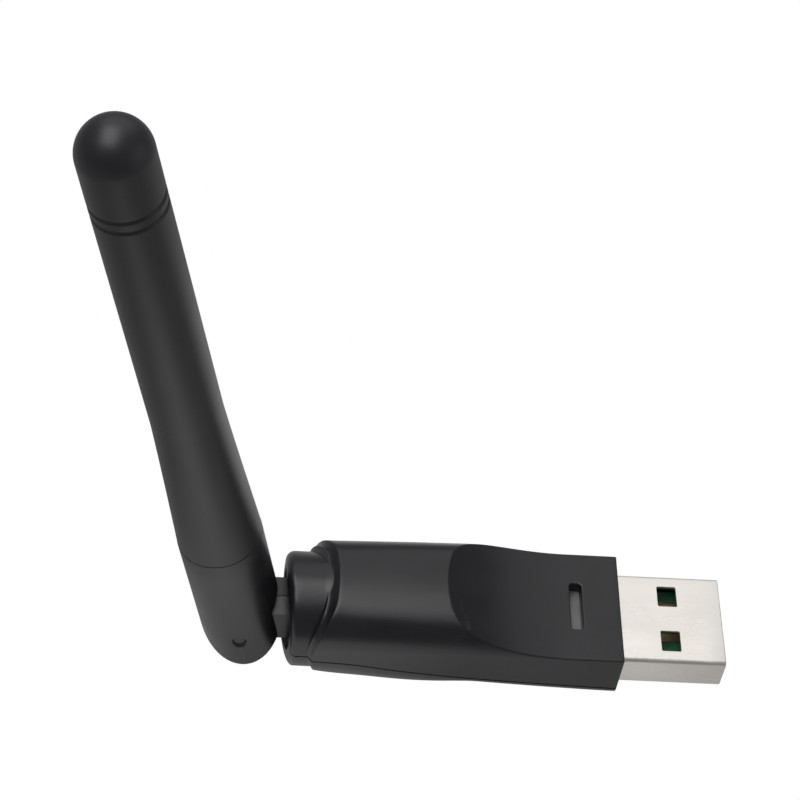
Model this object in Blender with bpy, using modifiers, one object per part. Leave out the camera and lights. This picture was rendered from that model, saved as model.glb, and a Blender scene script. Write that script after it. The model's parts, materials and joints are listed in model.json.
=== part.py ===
"""A thumb-sized USB wireless adapter with a stub antenna that folds and swivels.

The origin lies on the plug's centre line, in the plane of the housing's front face.
+X runs out along the plug, +Z is up out of the deck with the status window, and +Y
completes the right-handed set. Dimensions are named in millimetres.
"""

import math

import bmesh
import bpy

MM = 0.001

# Clearances between neighbouring pieces.
SEAM_GAP = 0.18
PLUG_FIT = 0.12
BOARD_FIT = 0.06
RUNNING_FIT = 0.06
PRESS_GAP = 0.03

# USB plug.
PLUG_REACH = 12.2
PLUG_INSET = 3.9
PLUG_WIDTH = 12.0
PLUG_HEIGHT = 4.5
PLUG_SHEET = 0.3
PLUG_CORNER = 0.5
LATCH_FRONT = 5.16
LATCH_LENGTH = 2.2
LATCH_WIDTH = 2.7
LATCH_PITCH = 6.16
INSERT_MOUTH_RECESS = 0.5
INSERT_REACH = 1.2

# Housing.
HALF_WIDTH = 7.3
TAIL_HALF_WIDTH = 7.16
ROOF_Z = 7.95
CROWN_RADIUS = 22.0
DECK_Z = 3.92
SCOOP_START_X = -6.0
SCOOP_RADIUS = 28.0
SHOULDER_FRONT = 3.8
SHOULDER_TAIL = 4.8
TAIL_X = -35.5
TAIL_ARC_RADIUS = 10.5
WALL = 1.1
HOLLOW_FRONT_X = -1.2
HOLLOW_TAIL_X = -33.2
DECK_WALL = 1.5
EDGE_ROUND = 0.16
SHOULDER_STEPS = 9
CROWN_STEPS = 6
# The sections run this far past the seam before it is cut.
SKIRT_Z = 9.0
BOTTOM_Z = -3.15
SEAM_LINE = [(0.6, -1.78), (-4.0, -1.62), (-11.0, -1.3), (-18.0, -0.88), (-25.3, -0.12), (-32.0, 0.78)]
# Along the underside: x, reach of the rounded edge inwards from the side, bottom height.
HULL_STATIONS = [
    (0.0, 1.0, BOTTOM_Z),
    (-8.0, 1.5, BOTTOM_Z),
    (-14.5, 2.5, BOTTOM_Z),
    (-16.6, 3.0, BOTTOM_Z - 0.05),
    (-18.4, 3.2, BOTTOM_Z - 0.45),
    (-20.6, 3.6, BOTTOM_Z - 1.15),
    (-23.0, 4.2, BOTTOM_Z - 1.75),
    (-26.0, 5.0, BOTTOM_Z - 2.2),
    (-29.5, 6.0, BOTTOM_Z - 2.55),
    (-31.6, 6.55, BOTTOM_Z - 2.7),
    (-32.8, 6.85, BOTTOM_Z - 2.65),
    (-34.0, 7.0, BOTTOM_Z - 2.3),
    (-35.0, 7.05, BOTTOM_Z - 1.95),
    (-36.2, 7.1, BOTTOM_Z - 1.8),
]

# Status window.
SLOT_X = -5.15
SLOT_WIDTH = 1.4
SLOT_LENGTH = 6.25
SLOT_CORNER = 0.4
PIPE_MARGIN = 0.35

# Swivel at the tail.
AXIS_Z = 0.9
COLLAR_RADIUS = 6.56
COLLAR_END_X = -38.65
COLLAR_ROUND = 1.0
BORE_RADIUS = 4.8
GROOVE_RADIUS = 5.75
GROOVE_TAIL_X = -36.85
GROOVE_FRONT_X = -35.2
DISC_FACE_X = -37.75
FLANGE_THICK = 0.9
WASHER_THICK = 0.3
AXIAL_PLAY = 0.12

# Fold hinge and antenna.
# The hinge lies this far under the swivel axis.
HINGE_DROP = 0.45
FOLD_DEG = 78.2
TAB_HALF_WIDTH = 2.45
TAB_RADIUS = 2.55
TAB_SLOPE = 0.42
SLOT_CLEAR = 0.15
PIN_RADIUS = 0.7
PIN_IN_TAB = 1.15
PIN_RECESS = 0.26
BASE_RADIUS = 4.78
HEEL_CLEAR = 0.17
PIVOT_X = COLLAR_END_X - HEEL_CLEAR - BASE_RADIUS
BASE_TOP = 14.95
SPIGOT_RADIUS = 2.75
SPIGOT_TOP = 22.0
SLEEVE_GAP = 0.05
RIM_ROUND = 0.06
WAIST_RADIUS = 3.92
WAIST_Z = 36.4
TIP_RADIUS = 3.85
TIP_Z = 74.75
SLEEVE_BORE = 2.85
SLEEVE_BORE_TOP = 71.0
GROOVE_HEIGHTS = (68.05, 69.4)
GROOVE_HALF = 0.24
GROOVE_DEPTH = 0.2
BASE_BORE = 1.0

# Circuit board and what it carries.
BOARD_TOP = -0.35
BOARD_THICK = 1.0
BOARD_SIDE_GAP = 0.35
BOARD_HALF_WIDTH = HALF_WIDTH - WALL - BOARD_SIDE_GAP
BOARD_TAIL_X = -32.4
BOARD_TAPER_X = -25.0
BOARD_TAIL_HALF_WIDTH = 4.9
TONGUE_HALF_WIDTH = PLUG_WIDTH / 2 - PLUG_SHEET - 0.2
CONTACT_THICK = 0.08
CONTACT_WIDTH = 1.1
CONTACT_PITCHES = (-3.5, -1.0, 1.0, 3.5)
INSERT_BACK_GAP = 0.4
LED_HEIGHT = 0.6
# Parts on the board: name, middle along X, middle along Y, length, width, height.
CHIPS = [
    ("wifi_chip", -17.0, 0.0, 5.0, 5.0, 0.85),
    ("memory_chip", -23.2, -3.0, 3.0, 2.6, 0.8),
    ("voltage_regulator", -10.6, -3.6, 1.6, 2.9, 1.05),
]
CERAMICS = [
    ("input_capacitor", -8.4, 3.4, 1.25, 2.0, 1.1),
    ("output_capacitor", -13.0, -3.8, 0.8, 1.6, 0.8),
    ("filter_capacitor", -12.8, 3.6, 0.8, 1.6, 0.8),
    ("matching_inductor", -26.6, 0.0, 1.6, 0.8, 0.7),
    ("matching_capacitor", -28.8, 0.0, 1.6, 0.8, 0.7),
]
RESISTORS = [
    ("led_resistor", -7.6, 0.0, 0.8, 1.6, 0.45),
    ("bias_resistor", -20.9, 0.0, 0.8, 1.6, 0.45),
]
CRYSTAL = [("crystal_can", -23.4, 2.8, 2.5, 3.2, 0.8)]
LEDS = [("status_led", SLOT_X, 0.0, 0.8, 1.6, LED_HEIGHT)]
JOINTS = [
    ("feed_solder_joint", -30.6, 0.0, 0.9, 0.9, 0.35),
    ("ground_solder_joint", -30.9, 1.9, 1.2, 1.3, 0.5),
]

# Feed line and radiator.
COAX_RADIUS = 0.57
COAX_START_X = -31.3
WHIP_RADIUS = 0.4
TUBE_RADIUS = 2.3
TUBE_WALL = 0.3


def clear_scene():
    for obj in list(bpy.data.objects):
        bpy.data.objects.remove(obj, do_unlink=True)


def make_collection(name):
    made = bpy.data.collections.new(name)
    bpy.context.scene.collection.children.link(made)
    return made


def make_material(name, colour, roughness, metallic=0.0):
    made = bpy.data.materials.new(name)
    made.use_nodes = True
    shader = made.node_tree.nodes["Principled BSDF"]
    shader.inputs["Base Color"].default_value = (*colour, 1.0)
    shader.inputs["Roughness"].default_value = roughness
    shader.inputs["Metallic"].default_value = metallic
    return made


def place(name, mesh, material=None, parent=None):
    """Puts a mesh in the scene: a piece if it has a material, or else a cutter."""
    obj = bpy.data.objects.new(name, mesh)
    if material is None:
        CUTTERS.objects.link(obj)
        obj.hide_render = True
        obj.display_type = "WIRE"
    else:
        ADAPTER.objects.link(obj)
        mesh.materials.append(material)
    obj.parent = parent
    return obj


def mesh_of(name, shape):
    mesh = bpy.data.meshes.new(name)
    shape.to_mesh(mesh)
    shape.free()
    return mesh


def box(name, low, high, material=None, parent=None):
    shape = bmesh.new()
    bmesh.ops.create_cube(shape, size=1.0)
    for vert in shape.verts:
        for axis in range(3):
            vert.co[axis] = MM * (low[axis] if vert.co[axis] < 0 else high[axis])
    return place(name, mesh_of(name, shape), material, parent)


def block(name, centre, size, material, parent=None):
    """A box standing on centre's height, given its sizes."""
    low = (centre[0] - size[0] / 2, centre[1] - size[1] / 2, centre[2])
    high = (centre[0] + size[0] / 2, centre[1] + size[1] / 2, centre[2] + size[2])
    return box(name, low, high, material, parent)


def prism(name, outline, half, material=None, parent=None):
    """A flat outline in X and Z, drawn anticlockwise seen from -Y, thick along Y."""
    shape = bmesh.new()
    face = shape.faces.new([shape.verts.new((MM * x, -MM * half, MM * z)) for x, z in outline])
    grown = bmesh.ops.extrude_face_region(shape, geom=[face])
    moved = [item for item in grown["geom"] if isinstance(item, bmesh.types.BMVert)]
    bmesh.ops.translate(shape, verts=moved, vec=(0, 2 * MM * half, 0))
    bmesh.ops.recalc_face_normals(shape, faces=shape.faces)
    return place(name, mesh_of(name, shape), material, parent)


def turned(name, profile, axis, steps, material=None, parent=None, closed=False):
    """A profile of (radius, height) turned about Z or X. It runs down the outer side."""
    if axis == "Z":
        points = [(MM * radius, 0, MM * height) for radius, height in profile]
    else:
        points = [(MM * height, MM * radius, 0) for radius, height in profile]
    count = len(points)
    edges = [(i, (i + 1) % count) for i in range(count if closed else count - 1)]
    mesh = bpy.data.meshes.new(name)
    mesh.from_pydata(points, edges, [])
    obj = place(name, mesh, material, parent)
    screw = obj.modifiers.new("Turn", "SCREW")
    screw.axis = axis
    screw.steps = steps
    screw.render_steps = steps
    screw.use_merge_vertices = True
    screw.merge_threshold = 1e-6
    screw.use_smooth_shade = True
    return obj


def loft(name, rings, material=None):
    """A body through rings with the same number of points, in order along X."""
    shape = bmesh.new()
    rows = [[shape.verts.new([MM * value for value in point]) for point in ring] for ring in rings]
    count = len(rows[0])
    for near, far in zip(rows, rows[1:]):
        for i in range(count):
            j = (i + 1) % count
            shape.faces.new((near[i], near[j], far[j], far[i]))
    shape.faces.new(rows[0])
    shape.faces.new(rows[-1])
    bmesh.ops.recalc_face_normals(shape, faces=shape.faces)
    return place(name, mesh_of(name, shape), material)


def wire(name, points, radius, material, parent=None):
    """A round lead with flat ends through points."""
    curve = bpy.data.curves.new(name, "CURVE")
    curve.dimensions = "3D"
    curve.bevel_depth = MM * radius
    curve.bevel_resolution = 2
    curve.use_fill_caps = True
    spline = curve.splines.new("POLY")
    spline.points.add(len(points) - 1)
    for slot, point in zip(spline.points, points):
        slot.co = (*[MM * value for value in point], 1.0)
    return place(name, curve, material, parent)


def combine(obj, other, operation):
    change = obj.modifiers.new(other.name, "BOOLEAN")
    change.operation = operation
    change.solver = "EXACT"
    change.object = other
    return obj


def round_edges(obj, width, segments=2, degrees=40.0):
    bevel = obj.modifiers.new("Round", "BEVEL")
    bevel.width = MM * width
    bevel.segments = segments
    bevel.limit_method = "ANGLE"
    bevel.angle_limit = math.radians(degrees)
    bevel.use_clamp_overlap = True
    return obj


def mix(low, high, share):
    return low + (high - low) * share


def interpolate(line, x):
    """The height of a line of falling x at x."""
    for (x0, z0), (x1, z1) in zip(line, line[1:]):
        if x >= x1:
            return mix(z0, z1, (x0 - x) / (x0 - x1))
    return line[-1][1]


def arc(centre, radius, start, end, steps):
    """Points of an arc in degrees, both ends included."""
    angles = [math.radians(mix(start, end, i / steps)) for i in range(steps + 1)]
    return [(centre[0] + radius * math.cos(a), centre[1] + radius * math.sin(a)) for a in angles]


def half_width(x):
    return mix(HALF_WIDTH, TAIL_HALF_WIDTH, min(1.0, max(0.0, (-24.0 - x) / 12.0)))


def shoulder(x):
    return mix(SHOULDER_FRONT, SHOULDER_TAIL, min(1.0, max(0.0, (-18.0 - x) / 15.0)))


def tail_x(z):
    """The tail face, which leans forward towards the roof and the underside."""
    rise = z - AXIS_Z
    return TAIL_X + TAIL_ARC_RADIUS - math.sqrt(TAIL_ARC_RADIUS**2 - rise**2)


def upper_ring(x, inset):
    """The section of the upper shell: straight sides, round shoulders, a barely crowned roof."""
    side = half_width(x) - inset
    turn = shoulder(x) - inset
    crown = CROWN_RADIUS - inset
    crown_z = ROOF_Z - CROWN_RADIUS
    lean = math.asin((side - turn) / (crown - turn))
    turn_z = crown_z + (crown - turn) * math.cos(lean)
    right = arc((side - turn, turn_z), turn, 0, 90 - math.degrees(lean), SHOULDER_STEPS)
    over = arc((0.0, crown_z), crown, 90 - math.degrees(lean), 90, CROWN_STEPS)
    right += over[1:-1]
    left = [(-y, z) for y, z in reversed(right)]
    ring = [(side, -SKIRT_Z), *right, over[-1], *left, (-side, -SKIRT_Z)]
    return [(x, y, z) for y, z in ring]


def lower_ring(station, inset):
    """The section of the lower shell: straight above the seam, elliptical below."""
    x, reach, bottom = station
    side = half_width(x) - inset
    level = interpolate(SEAM_LINE, x)
    reach = max(reach - inset, 0.4)
    reach = min(reach, side - 0.05)
    depth = level - bottom - inset * 0.85
    curve = []
    for i in range(9):
        angle = math.radians(90 * i / 8)
        curve.append((side - reach + reach * math.cos(angle), level - depth * math.sin(angle)))
    other = [(-y, z) for y, z in reversed(curve)]
    return [(x, y, z) for y, z in [(side, SKIRT_Z), *curve, *other, (-side, SKIRT_Z)]]


def scoop_outline(drop, front_x, back_x, roof):
    """Side outline of everything under the deck, the ramp and the roof."""
    deck = DECK_Z - drop
    radius = SCOOP_RADIUS
    centre = (SCOOP_START_X, deck + radius)
    climb = math.degrees(math.acos((centre[1] - roof) / radius))
    ramp = arc(centre, radius, 270, 270 - climb, 14)
    tail = [(back_x(roof - i * (roof + 9.0) / 16), roof - i * (roof + 9.0) / 16) for i in range(17)]
    return [(front_x, -9.0), (front_x, deck), *ramp, *tail]


def seam_outline(offset, far):
    """Side outline of what lies beyond the seam, far being its outer limit."""
    tail = [(-36.4, AXIS_Z), (-60.0, AXIS_Z)]
    line = [(4.0, SEAM_LINE[0][1])] + SEAM_LINE + tail
    return [(x, z + offset) for x, z in line] + [(-60.0, far), (4.0, far)]


clear_scene()
ADAPTER = make_collection("usb_wifi_adapter")
CUTTERS = make_collection("cutters")

BLACK_SHELL = make_material("upper_shell_plastic", (0.028, 0.028, 0.031), 0.5)
BLACK_BELLY = make_material("lower_shell_plastic", (0.03, 0.03, 0.033), 0.5)
NICKEL = make_material("nickel_plate", (0.68, 0.66, 0.63), 0.28, 1.0)
BOARD_GREEN = make_material("board_green", (0.03, 0.16, 0.08), 0.45)
GOLD = make_material("gold_contact", (0.85, 0.62, 0.25), 0.3, 1.0)
INSERT_BLACK = make_material("insert_plastic", (0.05, 0.05, 0.05), 0.55)
CHIP_BLACK = make_material("chip_resin", (0.04, 0.04, 0.045), 0.5)
CAN_STEEL = make_material("crystal_can_steel", (0.6, 0.6, 0.58), 0.3, 1.0)
CERAMIC = make_material("capacitor_ceramic", (0.5, 0.38, 0.26), 0.5)
RESISTOR = make_material("resistor_glaze", (0.05, 0.05, 0.06), 0.4)
LED_BODY = make_material("led_lens", (0.75, 0.8, 0.7), 0.25)
LIGHT_PIPE = make_material("light_pipe_plastic", (0.3, 0.3, 0.31), 0.25)
SOLDER = make_material("solder", (0.62, 0.62, 0.63), 0.35, 1.0)
NECK_BLACK = make_material("swivel_plastic", (0.04, 0.04, 0.043), 0.4)
WASHER_STEEL = make_material("washer_steel", (0.55, 0.55, 0.56), 0.3, 1.0)
BASE_BLACK = make_material("antenna_base_plastic", (0.035, 0.035, 0.038), 0.45)
SLEEVE_BLACK = make_material("antenna_sleeve_rubber", (0.027, 0.027, 0.03), 0.6)
PIN_BLACK = make_material("hinge_pin_black", (0.045, 0.045, 0.05), 0.4)
COPPER = make_material("radiator_copper", (0.72, 0.4, 0.25), 0.35, 1.0)
COAX_JACKET = make_material("coax_jacket", (0.08, 0.08, 0.085), 0.5)
SPACER_WHITE = make_material("spacer_nylon", (0.75, 0.75, 0.72), 0.5)

swivel_axis = bpy.data.objects.new("swivel_axis", None)
swivel_axis.location = (MM * PIVOT_X, 0, MM * AXIS_Z)
fold_axis = bpy.data.objects.new("fold_axis", None)
fold_axis.parent = swivel_axis
fold_axis.location = (0, 0, -MM * HINGE_DROP)
fold_axis.rotation_euler = (0, -math.radians(90 - FOLD_DEG), 0)
for empty in (swivel_axis, fold_axis):
    ADAPTER.objects.link(empty)

# ---- Shared cutters of the two shells ----
collar_turn = [
    (0.0, -33.0),
    (COLLAR_RADIUS, -33.0),
    *[
        (COLLAR_RADIUS - COLLAR_ROUND + r, COLLAR_END_X + COLLAR_ROUND - h)
        for r, h in arc((0, 0), COLLAR_ROUND, 0, 90, 4)
    ],
    (0.0, COLLAR_END_X),
]
collar = turned("collar_blank", collar_turn, "X", 56)
collar.location = (0, 0, MM * AXIS_Z)
bore_turn = [
    (0.0, -32.6),
    (BORE_RADIUS, -32.6),
    (BORE_RADIUS, GROOVE_FRONT_X),
    (GROOVE_RADIUS, GROOVE_FRONT_X),
    (GROOVE_RADIUS, GROOVE_TAIL_X),
    (BORE_RADIUS, GROOVE_TAIL_X),
    (BORE_RADIUS, COLLAR_END_X + 0.25),
    (BORE_RADIUS + 0.45, COLLAR_END_X - 0.2),
    (0.0, COLLAR_END_X - 0.2),
]
bore = turned("collar_bore", bore_turn, "X", 56)
bore.location = (0, 0, MM * AXIS_Z)
mouth_half = PLUG_WIDTH / 2 + PLUG_FIT
mouth_high = PLUG_HEIGHT / 2 + PLUG_FIT
mouth_back = -PLUG_INSET - 0.3
mouth = box("plug_mouth", (mouth_back, -mouth_half, -mouth_high), (1.0, mouth_half, mouth_high))
below_seam = prism("below_seam", seam_outline(SEAM_GAP / 2, -20.0), 12)
above_seam = prism("above_seam", seam_outline(-SEAM_GAP / 2, 20.0), 12)

# ---- Upper shell ----
upper_stations = (0.0, -12.0, -18.0, -24.0, -28.0, -33.0, -36.4)
upper = loft("upper_housing", [upper_ring(x, 0.0) for x in upper_stations], BLACK_SHELL)
roofline = prism("roofline", scoop_outline(0.0, 0.0, tail_x, ROOF_Z + 0.4), 12)
combine(upper, roofline, "INTERSECT")
round_edges(upper, EDGE_ROUND, 2, 24.0)
combine(upper, collar, "UNION")
combine(upper, below_seam, "DIFFERENCE")


hollow_xs = (HOLLOW_FRONT_X, *upper_stations[1:-2], HOLLOW_TAIL_X)
upper_hollow = loft("upper_hollow", [upper_ring(x, WALL) for x in hollow_xs])
hollow_line = prism(
    "hollow_line",
    scoop_outline(DECK_WALL, HOLLOW_FRONT_X + 0.1, lambda _height: HOLLOW_TAIL_X, ROOF_Z),
    12,
)
combine(upper_hollow, hollow_line, "INTERSECT")
combine(upper, upper_hollow, "DIFFERENCE")
combine(upper, bore, "DIFFERENCE")
combine(upper, mouth, "DIFFERENCE")
slot_low = (SLOT_X - SLOT_WIDTH / 2, -SLOT_LENGTH / 2, DECK_Z - DECK_WALL - 1.0)
slot_high = (SLOT_X + SLOT_WIDTH / 2, SLOT_LENGTH / 2, DECK_Z + 1.0)
slot = box("window_slot", slot_low, slot_high)
round_edges(slot, SLOT_CORNER, 3, 40.0)
combine(upper, slot, "DIFFERENCE")

# ---- Lower shell ----
lower = loft("lower_housing", [lower_ring(station, 0.0) for station in HULL_STATIONS], BLACK_BELLY)
side_line = [(0.0, -SKIRT_Z - 1.0), (0.0, SKIRT_Z + 1.0)]
side_line += [(tail_x(height), height) for height in range(int(SKIRT_Z), -int(SKIRT_Z) - 1, -1)]
tail_limit = prism("tail_limit", side_line, 12)
combine(lower, tail_limit, "INTERSECT")
round_edges(lower, EDGE_ROUND, 2, 40.0)
combine(lower, collar, "UNION")
combine(lower, above_seam, "DIFFERENCE")
inner_stations = [(HOLLOW_FRONT_X, *HULL_STATIONS[0][1:])]
inner_stations += [station for station in HULL_STATIONS if HOLLOW_TAIL_X < station[0] < HOLLOW_FRONT_X]
inner_stations.append((HOLLOW_TAIL_X, *inner_stations[-1][1:]))
lower_hollow = loft("lower_hollow", [lower_ring(station, WALL) for station in inner_stations])
combine(lower, lower_hollow, "DIFFERENCE")
combine(lower, bore, "DIFFERENCE")
combine(lower, mouth, "DIFFERENCE")

# ---- Plug ----
shell_half = PLUG_WIDTH / 2
shell_high = PLUG_HEIGHT / 2
shell = box("usb_shell", (-PLUG_INSET, -shell_half, -shell_high), (PLUG_REACH, shell_half, shell_high), NICKEL)
cavity = box(
    "shell_cavity",
    (-PLUG_INSET, -shell_half + PLUG_SHEET, -shell_high + PLUG_SHEET),
    (PLUG_REACH, shell_half - PLUG_SHEET, shell_high - PLUG_SHEET),
)


def round_long_edges(obj, width):
    """Rounds the four edges along X."""
    shape = bmesh.new()
    shape.from_mesh(obj.data)
    long_edges = [e for e in shape.edges if abs(e.verts[0].co.x - e.verts[1].co.x) > MM]
    bmesh.ops.bevel(
        shape, geom=long_edges, offset=MM * width, segments=3, profile=0.5, affect="EDGES"
    )
    shape.to_mesh(obj.data)
    shape.free()


round_long_edges(shell, PLUG_CORNER)
round_long_edges(cavity, PLUG_CORNER - PLUG_SHEET)
for vert in cavity.data.vertices:
    vert.co.x += MM if vert.co.x > 0 else -MM
combine(shell, cavity, "DIFFERENCE")
latch_x = PLUG_REACH - LATCH_FRONT
for number, centre_y in enumerate((-LATCH_PITCH / 2, LATCH_PITCH / 2)):
    hole = box(
        f"latch_hole_{number}",
        (latch_x - LATCH_LENGTH, centre_y - LATCH_WIDTH / 2, -shell_high - 1),
        (latch_x, centre_y + LATCH_WIDTH / 2, shell_high + 1),
    )
    combine(shell, hole, "DIFFERENCE")

board_low = BOARD_TOP - BOARD_THICK
nose_x = PLUG_REACH - INSERT_MOUTH_RECESS
spacer_low = -shell_high + PLUG_SHEET + BOARD_FIT
box(
    "tongue_spacer",
    (-PLUG_INSET + INSERT_BACK_GAP, -TONGUE_HALF_WIDTH, spacer_low),
    (nose_x, TONGUE_HALF_WIDTH, board_low - BOARD_FIT),
    INSERT_BLACK,
)
box(
    "plug_insert",
    (-PLUG_INSET + INSERT_BACK_GAP, -TONGUE_HALF_WIDTH, BOARD_TOP + BOARD_FIT),
    (INSERT_REACH, TONGUE_HALF_WIDTH, shell_high - PLUG_SHEET - BOARD_FIT),
    INSERT_BLACK,
)

# ---- Board and components ----
step_x = -PLUG_INSET - 0.5
board_outline = [
    (nose_x - 0.3, -TONGUE_HALF_WIDTH),
    (nose_x, -TONGUE_HALF_WIDTH + 0.3),
    (nose_x, TONGUE_HALF_WIDTH - 0.3),
    (nose_x - 0.3, TONGUE_HALF_WIDTH),
    (step_x, TONGUE_HALF_WIDTH),
    (step_x, BOARD_HALF_WIDTH),
    (BOARD_TAPER_X, BOARD_HALF_WIDTH),
    (BOARD_TAIL_X, BOARD_TAIL_HALF_WIDTH),
    (BOARD_TAIL_X, -BOARD_TAIL_HALF_WIDTH),
    (BOARD_TAPER_X, -BOARD_HALF_WIDTH),
    (step_x, -BOARD_HALF_WIDTH),
    (step_x, -TONGUE_HALF_WIDTH),
]
board_curve = bpy.data.curves.new("main_board", "CURVE")
board_curve.dimensions = "2D"
board_curve.fill_mode = "BOTH"
board_curve.extrude = MM * BOARD_THICK / 2
board_spline = board_curve.splines.new("POLY")
board_spline.points.add(len(board_outline) - 1)
for corner, (x, y) in zip(board_spline.points, board_outline):
    corner.co = (MM * x, MM * y, 0, 1.0)
board_spline.use_cyclic_u = True
board = place("main_board", board_curve, BOARD_GREEN)
board.location.z = MM * (BOARD_TOP - BOARD_THICK / 2)

contact_names = ("ground", "data_plus", "data_minus", "power")
contact_tail = INSERT_REACH + 0.4
top = BOARD_TOP + BOARD_FIT
for label, centre_y in zip(contact_names, CONTACT_PITCHES):
    outer = abs(centre_y) > 2.0
    front = nose_x - (0.7 if outer else 1.7)
    box(
        f"contact_{label}",
        (contact_tail, centre_y - CONTACT_WIDTH / 2, top),
        (front, centre_y + CONTACT_WIDTH / 2, top + CONTACT_THICK),
        GOLD,
    )

board_parts = [
    (CHIPS, CHIP_BLACK),
    (CERAMICS, CERAMIC),
    (RESISTORS, RESISTOR),
    (CRYSTAL, CAN_STEEL),
    (LEDS, LED_BODY),
    (JOINTS, SOLDER),
]
for rows, material in board_parts:
    for label, x, y, length, width, height in rows:
        block(label, (x, y, top), (length, width, height), material)
round_edges(bpy.data.objects["crystal_can"], 0.2, 2)
pipe_low = top + LED_HEIGHT + BOARD_FIT
pipe_high = DECK_Z - DECK_WALL - BOARD_FIT
pipe_half_x = SLOT_WIDTH / 2 + PIPE_MARGIN
pipe_half_y = SLOT_LENGTH / 2 + PIPE_MARGIN
box(
    "window_light_pipe",
    (SLOT_X - pipe_half_x, -pipe_half_y, pipe_low),
    (SLOT_X + pipe_half_x - 0.2, pipe_half_y, pipe_high),
    LIGHT_PIPE,
)

# ---- Feed line, in the lengths that the two joints divide it into ----
wire(
    "coax_board_lead",
    [
        (COAX_START_X, 0.0, top + COAX_RADIUS + 0.02),
        (COAX_START_X - 1.4, 0.0, top + COAX_RADIUS + 0.02),
        (COAX_START_X - 2.6, 0.0, AXIS_Z - 0.12),
        (COAX_START_X - 3.4, 0.0, AXIS_Z),
        (GROOVE_FRONT_X + 0.35, 0.0, AXIS_Z),
    ],
    COAX_RADIUS,
    COAX_JACKET,
)
flange_front = GROOVE_TAIL_X + WASHER_THICK + 2 * AXIAL_PLAY + FLANGE_THICK
wire(
    "coax_swivel_lead",
    [(flange_front - PIVOT_X - 0.3, 0.0, 0.0), (1.6, 0.0, 0.0)],
    COAX_RADIUS,
    COAX_JACKET,
    swivel_axis,
)

# ---- Swivel neck, in the swivel's own frame ----
disc_radius = BORE_RADIUS - RUNNING_FIT
flange_radius = GROOVE_RADIUS - RUNNING_FIT
face = DISC_FACE_X - PIVOT_X
flange_tail = GROOVE_TAIL_X + WASHER_THICK + 2 * AXIAL_PLAY - PIVOT_X
neck_turn = [
    (0.0, flange_front - PIVOT_X),
    (flange_radius, flange_front - PIVOT_X),
    (flange_radius, flange_tail),
    (disc_radius, flange_tail),
    (disc_radius, face + 0.25),
    (disc_radius - 0.25, face),
    (disc_radius - 0.75, face),
    (disc_radius - 0.95, face + 0.4),
    (0.0, face + 0.4),
]
neck = turned("swivel_neck", neck_turn, "X", 48, NECK_BLACK, swivel_axis)
tab_tail = face + 0.8
tab_section = [
    (-TAB_HALF_WIDTH, -TAB_RADIUS),
    (TAB_HALF_WIDTH, -TAB_RADIUS),
    (TAB_HALF_WIDTH, TAB_RADIUS),
    (0.0, TAB_RADIUS),
    (-TAB_HALF_WIDTH, TAB_RADIUS - TAB_SLOPE),
]
tab = loft("neck_tab", [[(x, y, z) for y, z in tab_section] for x in (0.0, tab_tail)])
tab.parent = swivel_axis


def crosswise_rod(name, low_y, high_y, radius, steps, parent, material=None, drop=0.0):
    """A rod along Y through the parent's origin, or lower by drop."""
    profile = [(0.0, high_y), (radius, high_y), (radius, low_y), (0.0, low_y)]
    rod = turned(name, profile, "Z", steps, material, parent)
    rod.rotation_euler = (-math.pi / 2, 0, 0)
    rod.location.z = -MM * drop
    return rod


eye = crosswise_rod(
    "neck_eye", -TAB_HALF_WIDTH, TAB_HALF_WIDTH, TAB_RADIUS, 40, swivel_axis, drop=HINGE_DROP
)
combine(neck, tab, "UNION")
combine(neck, eye, "UNION")
lead_bore = turned(
    "lead_bore",
    [(0.0, 12.0), (BASE_BORE, 12.0), (BASE_BORE, -6.0), (0.0, -6.0)],
    "X",
    20,
    None,
    swivel_axis,
)
combine(neck, lead_bore, "DIFFERENCE")
pin_inner = TAB_HALF_WIDTH - PIN_IN_TAB
pin_outer = BASE_RADIUS - PIN_RECESS
for side, sign in (("left", -1), ("right", 1)):
    ends = sorted((sign * (pin_inner - 0.1), sign * (pin_outer + 1.0)))
    socket = crosswise_rod(
        f"tab_socket_{side}", *ends, PIN_RADIUS + RUNNING_FIT, 28, swivel_axis, drop=HINGE_DROP
    )
    combine(neck, socket, "DIFFERENCE")

washer_turn = [
    (flange_radius - 0.15, GROOVE_TAIL_X + AXIAL_PLAY + WASHER_THICK - PIVOT_X),
    (flange_radius - 0.15, GROOVE_TAIL_X + AXIAL_PLAY - PIVOT_X),
    (disc_radius + 0.12, GROOVE_TAIL_X + AXIAL_PLAY - PIVOT_X),
    (disc_radius + 0.12, GROOVE_TAIL_X + AXIAL_PLAY + WASHER_THICK - PIVOT_X),
]
turned("friction_washer", washer_turn, "X", 40, WASHER_STEEL, swivel_axis, closed=True)

# ---- Antenna, in its own frame: +Z along it from the hinge ----
base_turn = [
    (0.0, SPIGOT_TOP),
    (SPIGOT_RADIUS - 0.3, SPIGOT_TOP),
    (SPIGOT_RADIUS, SPIGOT_TOP - 0.3),
    (SPIGOT_RADIUS, BASE_TOP),
    (BASE_RADIUS - RIM_ROUND, BASE_TOP),
    (BASE_RADIUS, BASE_TOP - RIM_ROUND),
    (BASE_RADIUS, -BASE_RADIUS - 1.0),
    (0.0, -BASE_RADIUS - 1.0),
]
base = turned("antenna_base", base_turn, "Z", 48, BASE_BLACK, fold_axis)
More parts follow.
